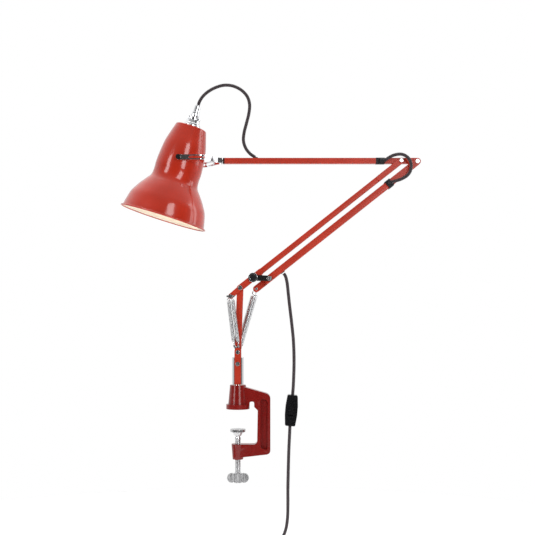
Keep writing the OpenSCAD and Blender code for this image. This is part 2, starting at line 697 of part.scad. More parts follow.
// switch frame: +x runs down the cable from the switch's top
module switch_frame() at(switch_top, -90 - switch_tilt) children();
module switch_case() {
  end_half = switch_w * 0.41;
  color(black) difference() {
    switch_frame() slab(-switch_w / 2 + 2, switch_w / 2 - 2) polygon(rounded([
      [0, -end_half, 2.5], [switch_len * 0.35, -switch_w / 2, 12], [switch_len * 0.65, -switch_w / 2, 12],
      [switch_len, -end_half, 2.5], [switch_len, end_half, 2.5], [switch_len * 0.65, switch_w / 2, 12],
      [switch_len * 0.35, switch_w / 2, 12], [0, end_half, 2.5]]));
    switch_frame() translate([switch_len / 2 - 8.5, -switch_w, -4.5]) cube([17, switch_w - 2, 9]);
  }
}
rocker_tilt = -6;
rocker_y = -6;
module switch_rocker() {
  color([0.12, 0.12, 0.13]) switch_frame() translate([switch_len / 2, rocker_y, 0]) {
    rotate([0, 0, rocker_tilt]) slab(-4, 2.4) translate([-7.4, -4]) square([14.8, 8]);
    translate([0, 0, -4.4]) cylinder(d = 2.4, h = 8.8);
  }
}
module plug_body() {
  color(black) translate([plug_at.x, 0, plug_at.y]) {
    translate([0, 0, -12]) cylinder(d1 = 12, d2 = cord_d + 2, h = 12);
    translate([0, 0, -40]) linear_extrude(28) polygon(rounded([[-17, -6.5, 6], [17, -6.5, 6],
      [17, 6.5, 6], [-17, 6.5, 6]]));
  }
}
module plug_pins() {
  color(chrome) for (s = [-1, 1]) translate([plug_at.x + s * 9.5, 0, plug_at.y - 59]) cylinder(d = 4, h = 19);
}

clamp_frame();
spindle_bush();
clamp_foot();
clamp_screw();
screw_wing();
spindle();
spindle_block();
post_strip_front();
post_strip_back();
post_bolts();
upright();
lower_spring_yoke();
front_spring_left();
front_spring_right();
rear_spring();
lever_plate_front();
lever_plate_back();
main_tube();
main_pivot_bolt();
upper_spring_yoke();
link_pivot_bolt();
link_pivot_ring();
link_pivot_cap();
elbow_cheek_front();
elbow_cheek_back();
elbow_bolt();
link_front();
link_back();
rear_tube();
rear_lever();
rear_link_bolt();
rear_spring_pin();
cable_outlet();
rear_head_cheeks();
rear_head_block();
rear_head_bolt();
lower_sleeve();
arm_tube();
arm_end_plug();
upper_sleeve();
arm_grommet();
swivel_stud();
fork();
shade_pivot_bolts();
shade();
holder_skirt();
holder_ring();
cable_grip();
lampholder();
bulb_base();
bulb_glass();
shade_cord();
elbow_cord();
mains_cord();
mains_coil();
coil_tie();
switch_case();
switch_rocker();
plug_body();
plug_pins();
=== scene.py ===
"""Architect desk lamp: the looks of the red, spring-balanced clamp lamp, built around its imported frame.

Every piece is worked out in metres in the frame's own axes: +Z up, the arms in the plane y = 0."""

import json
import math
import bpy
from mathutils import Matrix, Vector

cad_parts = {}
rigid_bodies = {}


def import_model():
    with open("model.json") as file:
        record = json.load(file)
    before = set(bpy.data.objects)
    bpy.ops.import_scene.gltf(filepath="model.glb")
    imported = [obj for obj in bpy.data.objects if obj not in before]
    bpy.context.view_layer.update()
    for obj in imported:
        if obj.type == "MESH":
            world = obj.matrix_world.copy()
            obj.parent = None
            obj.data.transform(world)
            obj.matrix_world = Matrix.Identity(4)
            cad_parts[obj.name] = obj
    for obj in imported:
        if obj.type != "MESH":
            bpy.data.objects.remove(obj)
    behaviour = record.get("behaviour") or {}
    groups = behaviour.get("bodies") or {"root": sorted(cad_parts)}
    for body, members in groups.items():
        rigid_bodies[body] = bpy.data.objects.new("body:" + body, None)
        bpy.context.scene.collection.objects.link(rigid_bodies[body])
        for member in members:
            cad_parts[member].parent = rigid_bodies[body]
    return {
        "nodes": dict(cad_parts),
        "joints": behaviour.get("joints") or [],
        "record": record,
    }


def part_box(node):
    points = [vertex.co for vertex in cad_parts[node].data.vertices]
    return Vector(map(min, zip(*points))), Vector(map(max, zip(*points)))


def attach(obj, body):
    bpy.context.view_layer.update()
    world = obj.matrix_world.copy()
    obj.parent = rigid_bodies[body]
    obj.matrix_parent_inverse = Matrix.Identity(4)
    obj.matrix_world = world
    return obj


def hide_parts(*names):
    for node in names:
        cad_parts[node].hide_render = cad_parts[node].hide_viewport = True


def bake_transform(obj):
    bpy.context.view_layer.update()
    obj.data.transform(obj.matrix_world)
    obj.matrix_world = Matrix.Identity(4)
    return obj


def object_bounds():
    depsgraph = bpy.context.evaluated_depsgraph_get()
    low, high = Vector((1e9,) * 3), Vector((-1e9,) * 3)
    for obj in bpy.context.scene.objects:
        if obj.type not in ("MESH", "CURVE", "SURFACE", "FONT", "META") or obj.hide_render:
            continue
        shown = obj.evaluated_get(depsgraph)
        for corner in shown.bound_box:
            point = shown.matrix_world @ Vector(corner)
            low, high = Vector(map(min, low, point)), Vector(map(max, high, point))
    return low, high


bl_info = {
    "name": "Architect Desk Lamp",
    "version": (1, 0, 0),
    "blender": (4, 5, 0),
    "location": "3D View > Sidebar > Desk Lamp",
    "description": "Shade, arms, springs, clamp, cables and switch of a spring-balanced desk lamp",
    "category": "Add Mesh",
}

import bmesh
import bpy
import numpy as np
from bpy.props import FloatProperty, FloatVectorProperty, IntProperty, PointerProperty
from bpy.types import Operator, Panel, PropertyGroup
from mathutils import Vector

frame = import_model()
MM = 0.001
CAD_BOX = [list(corner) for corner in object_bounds()]
PIVOT = {j["name"]: np.array(j["pos_m"]) for j in frame["joints"] if j.get("pos_m")}
SLOT_OF = {s["node"]: s["material_slot"] for s in frame["record"]["subparts"]}
BODY_OF = {n: b for b, nodes in frame["record"]["behaviour"]["bodies"].items() for n in nodes}
UP = np.array([0.0, 0.0, 1.0])
ACROSS = np.array([0.0, 1.0, 0.0])


# ---------------------------------------------------------------- sizes and colours


def size(name, description, default, low, high):
    """A length the user may change, in metres."""
    return FloatProperty(
        name=name, description=description, default=default, min=low, max=high, unit="LENGTH", precision=4
    )


def paint(name, description, default):
    """A colour the user may change, in linear light."""
    return FloatVectorProperty(
        name=name, description=description, default=default, min=0, max=1, size=3, subtype="COLOR"
    )


class LampShadeSizes(PropertyGroup):
    rim_d: size("Rim", "Diameter of the shade at its rim", 0.150, 0.12, 0.2)
    height: size("Height", "Rim to crown, along the shade's axis", 0.163, 0.14, 0.22)
    wall: size("Wall", "Thickness of the spun metal", 0.001, 0.0008, 0.002)
    lip: size("Lip", "Radius of the rolled edge", 0.0014, 0.001, 0.002)
    lean: FloatProperty(
        name="Lean", description="Lean of the shade's axis from upright at rest",
        default=math.radians(17.3), min=0, max=0.6, subtype="ANGLE",
    )
    bulb_d: size("Bulb", "Diameter of the bulb's globe", 0.060, 0.04, 0.064)
    steps: IntProperty(name="Steps", description="Steps round the shade", default=144, min=48, max=256)


class LampSpringSizes(PropertyGroup):
    front_d: size("Front springs", "Outside diameter of the two front springs", 0.0066, 0.005, 0.007)
    front_wire: size("Front wire", "Wire of the front springs", 0.0011, 0.0008, 0.0014)
    rear_d: size("Rear spring", "Outside diameter of the rear spring", 0.012, 0.008, 0.014)
    rear_wire: size("Rear wire", "Wire of the rear spring", 0.0017, 0.0012, 0.002)


class LampCableSizes(PropertyGroup):
    cord_d: size("Cable", "Diameter of the braided cable", 0.0055, 0.0045, 0.00625)
    coil_r: size("Coil", "Radius at the middle of the stored turns", 0.031, 0.028, 0.04)
    strands: IntProperty(
        name="Strands", description="Threads each way round the braid", default=12, min=6, max=24
    )


class LampColours(PropertyGroup):
    arm: paint("Arms", "Satin enamel of the arms and post", (0.5, 0.034, 0.013))
    shade: paint("Shade", "Gloss enamel outside the shade", (0.5, 0.028, 0.010))
    inside: paint("Inside", "Cream enamel inside the shade", (0.96, 0.87, 0.74))
    casting: paint("Clamp", "Dark gloss enamel of the clamp casting", (0.21, 0.004, 0.002))
    braid: paint("Cable", "Dark thread of the cable's braid", (0.028, 0.016, 0.021))
    thread: paint("Cable fleck", "Lighter thread of the cable's braid", (0.085, 0.052, 0.062))


GROUPS = {
    "lamp_shade": LampShadeSizes,
    "lamp_springs": LampSpringSizes,
    "lamp_cable": LampCableSizes,
    "lamp_colours": LampColours,
}


# ---------------------------------------------------------------- mesh work

SAME_PLACE = 1e-7  # points this close are one point
NODE_MERGE = 2e-6  # the same for a CAD node's mesh
FLAT_WITHIN = math.radians(0.8)  # faces this near to one plane are made one


def unit(v):
    """Vectors along the last axis, brought to length 1."""
    return v / np.linalg.norm(v, axis=-1, keepdims=True)


def flat(angle):
    """The direction at that angle above +X in the side view, for one angle or an array of them."""
    angle = np.asarray(angle, float)
    return np.stack([np.cos(angle), np.zeros_like(angle), np.sin(angle)], -1)


def new_piece(name, verts, faces, material):
    """A mesh object at the origin from an array of points and an array of faces."""
    mesh = bpy.data.meshes.new(name)
    mesh.from_pydata(verts.reshape(-1, 3).tolist(), [], faces.tolist())
    mesh.validate()
    mesh.shade_smooth()
    piece = bpy.data.objects.new(name, mesh)
    bpy.context.scene.collection.objects.link(piece)
    for m in material if isinstance(material, (list, tuple)) else [material]:
        mesh.materials.append(m)
    return piece


def grid_faces(rows, cols, loop_rows=False):
    """Quads of a grid of rows x cols points, closed along each row and, if asked, from last row to first."""
    r = np.arange(rows if loop_rows else rows - 1)[:, None]
    c = np.arange(cols)[None, :]
    a, b = r * cols + c, r * cols + (c + 1) % cols
    d, e = ((r + 1) % rows) * cols + c, ((r + 1) % rows) * cols + (c + 1) % cols
    return np.stack([a + 0 * b, b, e, d], -1).reshape(-1, 4)


def tidy(piece):
    """Closes seams and poles by merging what lies together, then turns the faces outwards."""
    bm = bmesh.new()
    bm.from_mesh(piece.data)
    bmesh.ops.remove_doubles(bm, verts=bm.verts, dist=SAME_PLACE)
    bmesh.ops.dissolve_degenerate(bm, edges=bm.edges, dist=SAME_PLACE)
    bmesh.ops.recalc_face_normals(bm, faces=bm.faces)
    bm.to_mesh(piece.data)
    bm.free()
    return piece


def spline(points, step):
    """Catmull-Rom curve through the points, then cut again at equal lengths of about step."""
    p = np.asarray(points, float)
    p = np.vstack([2 * p[0] - p[1], p, 2 * p[-1] - p[-2]])
    t = np.linspace(0, 1, 24, endpoint=False)[None, :, None]
    a, b, c, d = (p[i : len(p) - 3 + i, None] for i in range(4))
    curve = 0.5 * (2 * b + (c - a) * t + (2 * a - 5 * b + 4 * c - d) * t**2 + (3 * b - a - 3 * c + d) * t**3)
    curve = np.vstack([curve.reshape(-1, 3), p[-2]])
    return even(curve, step)


def run_length(path):
    """Length along the path at each of its points."""
    return np.concatenate([[0], np.cumsum(np.linalg.norm(np.diff(path, axis=0), axis=1))])


def even(path, step):
    """The same path with its points at equal lengths of about step."""
    run = run_length(path)
    at = np.linspace(0, run[-1], max(3, int(round(run[-1] / step)) + 1))
    return np.stack([np.interp(at, run, path[:, k]) for k in range(3)], -1)


def carried_frames(path):
    """Two directions across the path at each point. Each pair is the one before it, laid flat
    on the new direction of travel, so the section doesn't twist."""
    along = unit(np.gradient(path, axis=0))
    side = np.empty_like(path)
    start = UP if abs(along[0] @ ACROSS) > 0.95 else ACROSS
    side[0] = unit(start - along[0] * (start @ along[0]))
    for i in range(1, len(path)):
        side[i] = unit(side[i - 1] - along[i] * (side[i - 1] @ along[i]))
    return side, np.cross(along, side)


def wire(name, path, radius, sides, material, frames):
    """Round wire along a path: each ring is the path's point plus radius times the cosine and the
    sine of the angle along the two carried directions. A flat cap closes each end. The UV map runs
    once round in u and in metres along the wire in v."""
    side, top = frames
    turn = np.linspace(0, 2 * np.pi, sides, endpoint=False)
    ring = np.cos(turn)[None, :, None] * side[:, None] + np.sin(turn)[None, :, None] * top[:, None]
    verts = path[:, None] + radius * ring
    faces = grid_faces(len(path), sides)
    mesh = bpy.data.meshes.new(name)
    last = (len(path) - 1) * sides
    caps = [list(range(sides))[::-1], [last + k for k in range(sides)]]
    mesh.from_pydata(verts.reshape(-1, 3).tolist(), [], faces.tolist() + caps)
    uv = mesh.uv_layers.new(name="UVMap")
    run = run_length(path)
    rows, cols = np.divmod(np.arange(len(faces)), sides)
    u = np.stack([cols, cols + 1, cols + 1, cols], -1) / sides
    v = np.stack([run[rows], run[rows], run[rows + 1], run[rows + 1]], -1)
    cap_uv = np.zeros((2 * sides, 2))
    uv.data.foreach_set("uv", np.concatenate([np.stack([u, v], -1).reshape(-1, 2), cap_uv]).ravel())
    mesh.shade_smooth()
    mesh.set_sharp_from_angle(angle=math.radians(50))
    piece = bpy.data.objects.new(name, mesh)
    bpy.context.scene.collection.objects.link(piece)
    mesh.materials.append(material)
    if signed_volume(piece) < 0:
        mesh.flip_normals()
    return piece


def signed_volume(piece):
    """Volume inside the mesh, negative when its faces point inwards."""
    mesh = piece.data
    mesh.calc_loop_triangles()
    co = np.empty(len(mesh.vertices) * 3)
    mesh.vertices.foreach_get("co", co)
    tri = np.empty(len(mesh.loop_triangles) * 3, int)
    mesh.loop_triangles.foreach_get("vertices", tri)
    a, b, c = (co.reshape(-1, 3)[tri.reshape(-1, 3)[:, i]] for i in range(3))
    return float(np.einsum("ij,ij->i", a, np.cross(b, c)).sum() / 6)


def turned(name, outline, material, base, axis=UP, steps=64, relief=None, part_of=None, sharp=32):
    """Surface of revolution. Its outline is a closed ring of [radius, height] points, and the point at
    angle a is base plus height along the axis plus radius times (cos a, sin a) across it. relief(a, r, h)
    is added to the radius. part_of gives a material number for each row of the outline."""
    outline = np.asarray(outline, float)
    axis = unit(np.asarray(axis, float))
    side = unit(np.cross(ACROSS, axis)) if abs(axis @ ACROSS) < 0.9 else unit(np.cross(UP, axis))
    top = np.cross(axis, side)
    a = np.linspace(0, 2 * np.pi, steps, endpoint=False)[None, :]
    r, h = outline[:, :1], outline[:, 1:]
    if relief is not None:
        r = r + relief(a, r, h)
    r = r + 0 * a
    verts = (
        np.asarray(base) + h[..., None] * axis
        + r[..., None] * (np.cos(a)[..., None] * side + np.sin(a)[..., None] * top)
    )
    piece = new_piece(name, verts, grid_faces(len(outline), steps, loop_rows=True), material)
    if part_of is not None:
        piece.data.polygons.foreach_set("material_index", np.repeat(part_of, steps).astype(np.int32))
    tidy(piece)
    piece.data.set_sharp_from_angle(angle=math.radians(sharp))
    return piece


def rounded(corners, steps=5):
    """Closed outline with each corner turned into an arc. A corner is [x, y, radius]."""
    pts = []
    n = len(corners)
    for i in range(n):
        a, b, c = (np.array(corners[j % n][:2], float) for j in (i - 1, i, i + 1))
        r = corners[i][2]
        if r <= 0:
            pts.append(b)
            continue
        u, v = unit(a - b), unit(c - b)
        half = math.acos(float(np.clip(u @ v, -1, 1))) / 2
        o = b + unit(u + v) * r / math.sin(half)
        p, q = b + u * r / math.tan(half) - o, b + v * r / math.tan(half) - o
        start = math.atan2(p[1], p[0])
        sweep = math.atan2(p[0] * q[1] - p[1] * q[0], p @ q)
        t = start + sweep * np.linspace(0, 1, steps + 1)
        pts.extend(o + r * np.stack([np.cos(t), np.sin(t)], -1))
    return np.array(pts)


def softened(node, material, width, segments=2, angle=32):
    """The shape of a CAD node with its edges broken: a merged copy of the node whose flat stretches are
    made whole, and a Bevel that rounds each edge sharper than the angle."""
    piece = frame["nodes"][node].copy()
    piece.data = frame["nodes"][node].data.copy()
    for key in list(piece.keys()):
        del piece[key]
    piece.parent = None
    piece.name = node + "_skin"
    piece.data.name = piece.name
    bpy.context.scene.collection.objects.link(piece)
    bm = bmesh.new()
    bm.from_mesh(piece.data)
    bmesh.ops.remove_doubles(bm, verts=bm.verts, dist=NODE_MERGE)
    bmesh.ops.dissolve_limit(bm, angle_limit=FLAT_WITHIN, verts=bm.verts, edges=bm.edges)
    bmesh.ops.recalc_face_normals(bm, faces=bm.faces)
    bm.to_mesh(piece.data)
    bm.free()
    while piece.data.color_attributes:
        piece.data.color_attributes.remove(piece.data.color_attributes[0])
    piece.data.materials.clear()
    piece.data.materials.append(material)
    piece.data.shade_smooth()
    piece.data.set_sharp_from_angle(angle=math.radians(angle))
    bevel = piece.modifiers.new("Broken edges", "BEVEL")
    bevel.width = width
    bevel.segments = segments
    bevel.limit_method = "ANGLE"
    bevel.angle_limit = math.radians(angle)
    bevel.harden_normals = True
    bevel.use_clamp_overlap = True
    return piece


def fit(piece, body, slot, *nodes):
    """Puts a finished piece on its body and hides the CAD nodes that it stands for. The slot is not used."""
    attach(piece, body)
    if nodes:
        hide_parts(*nodes)
    return piece


# ---------------------------------------------------------------- shader groups


class Nodes:
    """Short hand for laying out one node tree: add() makes a node, sets its fields and inputs and
    links any input that is given another node's output."""

    def __init__(self, tree):
        self.tree = tree
        tree.nodes.clear()

    def add(self, kind, fields=None, **inputs):
        node = self.tree.nodes.new(kind)
        for key, value in (fields or {}).items():
            setattr(node, key, value)
        for key, value in inputs.items():
            self.put(node, key, value)
        return node

    def put(self, node, key, value):
        slots = [s for s in node.inputs if s.name.replace(" ", "_") == key or s.identifier == key]
        slot = next((s for s in slots if s.enabled), slots[0])
        if isinstance(value, bpy.types.NodeSocket):
            self.tree.links.new(value, slot)
        elif slot.type == "RGBA" and len(value) == 3:
            slot.default_value = (*value, 1)
        else:
            slot.default_value = value

    def math(self, operation, a, b=0.0):
        node = self.tree.nodes.new("ShaderNodeMath")
        node.operation = operation
        for slot, value in zip(node.inputs, (a, b)):
            if isinstance(value, bpy.types.NodeSocket):
                self.tree.links.new(value, slot)
            else:
                slot.default_value = value
        return node.outputs[0]

    def mix(self, factor, a, b):
        node = self.tree.nodes.new("ShaderNodeMix")
        node.data_type = "RGBA"
        for slot, value in zip((node.inputs[0], node.inputs[6], node.inputs[7]), (factor, a, b)):
            if isinstance(value, bpy.types.NodeSocket):
                self.tree.links.new(value, slot)
            elif slot.type == "RGBA":
                slot.default_value = (*value, 1) if len(value) == 3 else value
            else:
                slot.default_value = value
        return node.outputs[2]

    def ramp(self, value, low, high, a=0.0, b=1.0):
        node = self.add("ShaderNodeMapRange", {"interpolation_type": "SMOOTHSTEP"}, Value=value)
        for k, v in zip(("From Min", "From Max", "To Min", "To Max"), (low, high, a, b)):
            node.inputs[k].default_value = v
        return node.outputs["Result"]


def shader_group(name, inputs, outputs):
    """An empty shader group with named inputs (name, kind, default) and outputs (name, kind)."""
    group = bpy.data.node_groups.new(name, "ShaderNodeTree")
    for label, kind, default in inputs:
        socket = group.interface.new_socket(name=label, in_out="INPUT", socket_type="NodeSocket" + kind)
        if default is not None:
            socket.default_value = default
    for label, kind in outputs:
        group.interface.new_socket(name=label, in_out="OUTPUT", socket_type="NodeSocket" + kind)
    return group


def wear_group():
    """Edge wear: the sharp outward edges of the mesh, broken up by noise, as a mask from 0 to 1."""
    group = shader_group(
        "Edge wear", [("Amount", "Float", 0.5), ("Grain size", "Float", 900.0)], [("Mask", "Float")]
    )
    n = Nodes(group)
    given = n.add("NodeGroupInput")
    place = n.add("ShaderNodeTexCoord").outputs["Object"]
    edge = n.ramp(n.add("ShaderNodeNewGeometry").outputs["Pointiness"], 0.53, 0.62)
    noise = n.add("ShaderNodeTexNoise", Vector=place, Scale=given.outputs["Grain size"], Detail=3.0)
    broken = n.ramp(noise.outputs["Fac"], 0.48, 0.66)
    mask = n.math("MULTIPLY", n.math("MULTIPLY", edge, broken), given.outputs["Amount"])
    n.add("NodeGroupOutput", Mask=mask)
    return group


def dust_group():
    """Dust: a thin film on faces that look up, thicker where noise gathers it, as a mask."""
    group = shader_group("Dust", [("Amount", "Float", 0.15)], [("Mask", "Float")])
    n = Nodes(group)
    given = n.add("NodeGroupInput")
    place = n.add("ShaderNodeTexCoord").outputs["Object"]
    facing = n.add("ShaderNodeSeparateXYZ", Vector=n.add("ShaderNodeNewGeometry").outputs["Normal"])
    up = n.ramp(facing.outputs["Z"], 0.35, 1.0)
    noise = n.add("ShaderNodeTexNoise", Vector=place, Scale=160.0, Detail=5.0)
    film = n.math("MULTIPLY", up, n.ramp(noise.outputs["Fac"], 0.35, 0.75))
    n.add("NodeGroupOutput", Mask=n.math("MULTIPLY", film, given.outputs["Amount"]))
    return group


def ripple_group():
    """Sprayed enamel: fine orange-peel ripple as a normal, with a slow drift in tone and gloss."""
    group = shader_group(
        "Enamel ripple",
        [("Ripple size", "Float", 700.0), ("Depth", "Float", 0.05)],
        [("Normal", "Vector"), ("Drift", "Float"), ("Fine", "Float")],
    )
    n = Nodes(group)
    given = n.add("NodeGroupInput")
    place = n.add("ShaderNodeTexCoord").outputs["Object"]
    fine = n.add("ShaderNodeTexNoise", Vector=place, Scale=given.outputs["Ripple size"], Detail=2.0)
    slow = n.add("ShaderNodeTexNoise", Vector=place, Scale=18.0, Detail=2.0)
    bump = n.add("ShaderNodeBump", Strength=given.outputs["Depth"], Height=fine.outputs["Fac"])
    bump.inputs["Distance"].default_value = 0.0004
    n.add("NodeGroupOutput", Normal=bump.outputs[0], Drift=slow.outputs["Fac"], Fine=fine.outputs["Fac"])
    return group


def grain_group():
    """Brushed metal: noise stretched many times over along one direction, as a height and a mask."""
    group = shader_group(
        "Brushed grain",
        [("Stretch", "Vector", (400.0, 400.0, 20.0)), ("Depth", "Float", 0.1)],
        [("Normal", "Vector"), ("Streak", "Float")],
    )
    n = Nodes(group)
    given = n.add("NodeGroupInput")
    place = n.add("ShaderNodeTexCoord").outputs["Object"]
    long = n.add("ShaderNodeVectorMath", {"operation": "MULTIPLY"})
    n.tree.links.new(place, long.inputs[0])
    n.tree.links.new(given.outputs["Stretch"], long.inputs[1])
    noise = n.add("ShaderNodeTexNoise", Vector=long.outputs[0], Scale=1.0, Detail=4.0)
    bump = n.add("ShaderNodeBump", Strength=given.outputs["Depth"], Height=noise.outputs["Fac"])
    bump.inputs["Distance"].default_value = 0.0002
    n.add("NodeGroupOutput", Normal=bump.outputs[0], Streak=noise.outputs["Fac"])
    return group


def braid_group():
    """Textile braid from the cable's own UV map, u once round and v in metres. Two sets of slanting
    threads cross: each is a sine of (count x u) plus or minus (v over the thread's pitch), and the
    higher of the two is on top."""
    group = shader_group(
        "Cable braid",
        [("Threads", "Float", 12.0), ("Pitch", "Float", 0.0085), ("Depth", "Float", 0.8)],
        [("Normal", "Vector"), ("Over", "Float"), ("Fleck", "Float")],
    )
    n = Nodes(group)
    given = n.add("NodeGroupInput")
    uv = n.add("ShaderNodeSeparateXYZ", Vector=n.add("ShaderNodeUVMap").outputs["UV"])
    along = n.math("DIVIDE", uv.outputs["Y"], given.outputs["Pitch"])
    half = n.math("MULTIPLY", given.outputs["Threads"], 0.5)

    def threads(operation):
        slant = n.math(operation, uv.outputs["X"], along)
        wave = n.math("SINE", n.math("MULTIPLY", n.math("MULTIPLY", slant, half), 2 * math.pi))
        return n.math("ABSOLUTE", wave)

    right, left = threads("ADD"), threads("SUBTRACT")
    over = n.math("MAXIMUM", right, left)
    checks = n.math("GREATER_THAN", right, left)
    place = n.add("ShaderNodeCombineXYZ", X=n.math("MULTIPLY", uv.outputs["X"], 6.0))
    n.tree.links.new(n.math("MULTIPLY", uv.outputs["Y"], 900.0), place.inputs["Y"])
    noise = n.add("ShaderNodeTexNoise", Vector=place.outputs[0], Scale=1.0, Detail=1.0)
    fleck = n.math("MULTIPLY", n.ramp(noise.outputs["Fac"], 0.52, 0.66), checks)
    bump = n.add("ShaderNodeBump", Strength=given.outputs["Depth"], Height=over)
    bump.inputs["Distance"].default_value = 0.0005
    n.add("NodeGroupOutput", Normal=bump.outputs[0], Over=over, Fleck=fleck)
    return group


SHARED = {}


def shared(name):
    """The shader group of that name, built the first time it is asked for."""
    makers = {
        "wear": wear_group, "dust": dust_group, "ripple": ripple_group,
        "grain": grain_group, "braid": braid_group,
    }
    if name not in SHARED:
        SHARED[name] = makers[name]()
    return SHARED[name]


def start_material(name, **surface):
    """A material with one Principled BSDF whose constant values are set on its own sockets."""
    m = bpy.data.materials.new(name)
    m.use_nodes = True
    n = Nodes(m.node_tree)
    shader = n.add("ShaderNodeBsdfPrincipled", **surface)
    out = n.add("ShaderNodeOutputMaterial")
    m.node_tree.links.new(shader.outputs[0], out.inputs["Surface"])
    return m, n, shader


def place_group(n, name, **inputs):
    return n.add("ShaderNodeGroup", {"node_tree": shared(name)}, **inputs)


# ---------------------------------------------------------------- materials


def enamel(name, colour, roughness, coat=0.0, worn=(0.55, 0.5, 0.47), wear=0.35, ripple=0.05, dust=0.1):
    """Sprayed enamel on metal: ripple in the coat, tone that drifts, bare edges and a film of dust."""
    m, n, shader = start_material(name, Coat_Weight=coat, Coat_Roughness=0.05, Specular_IOR_Level=0.3)
    spray = place_group(n, "ripple", Depth=ripple)
    bare = place_group(n, "wear", Amount=wear)
    film = place_group(n, "dust", Amount=dust)
    deep = tuple(c * 0.86 for c in colour)
    tone = n.mix(n.ramp(spray.outputs["Drift"], 0.3, 0.7), deep, colour)
    edged = n.mix(bare.outputs["Mask"], tone, worn)
    n.put(shader, "Base_Color", n.mix(film.outputs["Mask"], edged, (0.62, 0.55, 0.5)))
    gloss = n.ramp(spray.outputs["Drift"], 0.2, 0.8, roughness * 0.85, roughness * 1.2)
    n.put(shader, "Roughness", n.math("ADD", gloss, n.math("MULTIPLY", film.outputs["Mask"], 0.4)))
    n.put(shader, "Metallic", n.math("MULTIPLY", bare.outputs["Mask"], 0.9))
    n.put(shader, "Normal", spray.outputs["Normal"])
    return m


def metal(name, colour, roughness, stretch=(400.0, 400.0, 30.0), depth=0.05, shade=0.8, dust=0.06):
    """Plated or bright metal: fine grain along one direction, patches a little duller, thin dust."""
    m, n, shader = start_material(name, Metallic=1.0)
    grain = place_group(n, "grain", Stretch=stretch, Depth=depth)
    film = place_group(n, "dust", Amount=dust)
    dull = tuple(c * shade for c in colour)
    tone = n.mix(n.ramp(grain.outputs["Streak"], 0.35, 0.65), dull, colour)
    n.put(shader, "Base_Color", n.mix(film.outputs["Mask"], tone, (0.5, 0.48, 0.46)))
    gloss = n.ramp(grain.outputs["Streak"], 0.3, 0.7, roughness * 0.7, roughness * 1.35)
    n.put(shader, "Roughness", n.math("ADD", gloss, n.math("MULTIPLY", film.outputs["Mask"], 0.5)))
    n.put(shader, "Normal", grain.outputs["Normal"])
    return m


def plastic(name, colour, roughness, ripple=0.12, size=1500.0, wear=0.25, coat=0.0):
    """Moulded plastic or rubber: fine spark texture, edges rubbed paler, dust in the texture."""
    m, n, shader = start_material(name, Coat_Weight=coat, Coat_Roughness=0.15, Specular_IOR_Level=0.22)
    mould = place_group(n, "ripple", Ripple_size=size, Depth=ripple)
    rubbed = place_group(n, "wear", Amount=wear)
    film = place_group(n, "dust", Amount=0.03)
    paler = tuple(min(1.0, c * 2.2 + 0.03) for c in colour)
    edged = n.mix(rubbed.outputs["Mask"], colour, paler)
    n.put(shader, "Base_Color", n.mix(film.outputs["Mask"], edged, (0.3, 0.28, 0.27)))
    gloss = n.ramp(mould.outputs["Fine"], 0.3, 0.7, roughness * 0.85, roughness * 1.15)
    n.put(shader, "Roughness", n.math("ADD", gloss, n.math("MULTIPLY", film.outputs["Mask"], 0.3)))
    n.put(shader, "Normal", mould.outputs["Normal"])
    return m


def braided(name, dark, light, threads):
    """Woven textile cover of the cable: slanting threads with lighter flecks, painted shade in the grooves
    between them, and a soft sheen.
    """
    m, n, shader = start_material(name, Sheen_Weight=0.25, Sheen_Roughness=0.5)
    braid = place_group(n, "braid", Threads=float(threads))
    # deep is painted shade: the dark thread at 0.35 of its colour, laid where the threads dip into the
    # grooves between them.
    deep = tuple(c * 0.35 for c in dark)
    thread = n.mix(braid.outputs["Fleck"], dark, light)
    n.put(shader, "Base_Color", n.mix(n.ramp(braid.outputs["Over"], 0.3, 0.8), deep, thread))
    n.put(shader, "Roughness", n.ramp(braid.outputs["Over"], 0.3, 0.9, 0.9, 0.62))
    n.put(shader, "Normal", braid.outputs["Normal"])
    return m


def opal_glass(name):
    """Opal bulb, alight: white glass that glows, its warm tone drifting a little with noise."""
    m, n, shader = start_material(
        name, Base_Color=(0.95, 0.92, 0.86), Roughness=0.18, Coat_Weight=0.6, Coat_Roughness=0.03,
        Emission_Strength=2.4,
    )
    place = n.add("ShaderNodeTexCoord").outputs["Object"]
    haze = n.add("ShaderNodeTexNoise", Vector=place, Scale=55.0, Detail=2.0)
    glow = n.mix(n.ramp(haze.outputs["Fac"], 0.3, 0.7), (1.0, 0.86, 0.66), (1.0, 0.92, 0.78))
    n.put(shader, "Emission_Color", glow)
    return m


def felt_band(name):
    """Hook-and-loop band: short fibres as fine noise, with a soft sheen."""
    m, n, shader = start_material(name, Sheen_Weight=0.4, Sheen_Roughness=0.4, Roughness=0.95)
    place = n.add("ShaderNodeTexCoord").outputs["Object"]
    fibre = n.add("ShaderNodeTexNoise", Vector=place, Scale=2600.0, Detail=3.0)
    shade = n.ramp(fibre.outputs["Fac"], 0.3, 0.7)
    n.put(shader, "Base_Color", n.mix(shade, (0.02, 0.02, 0.024), (0.09, 0.09, 0.1)))
    bump = n.add("ShaderNodeBump", Strength=0.7, Height=fibre.outputs["Fac"])
    bump.inputs["Distance"].default_value = 0.0004
    n.put(shader, "Normal", bump.outputs[0])
    return m


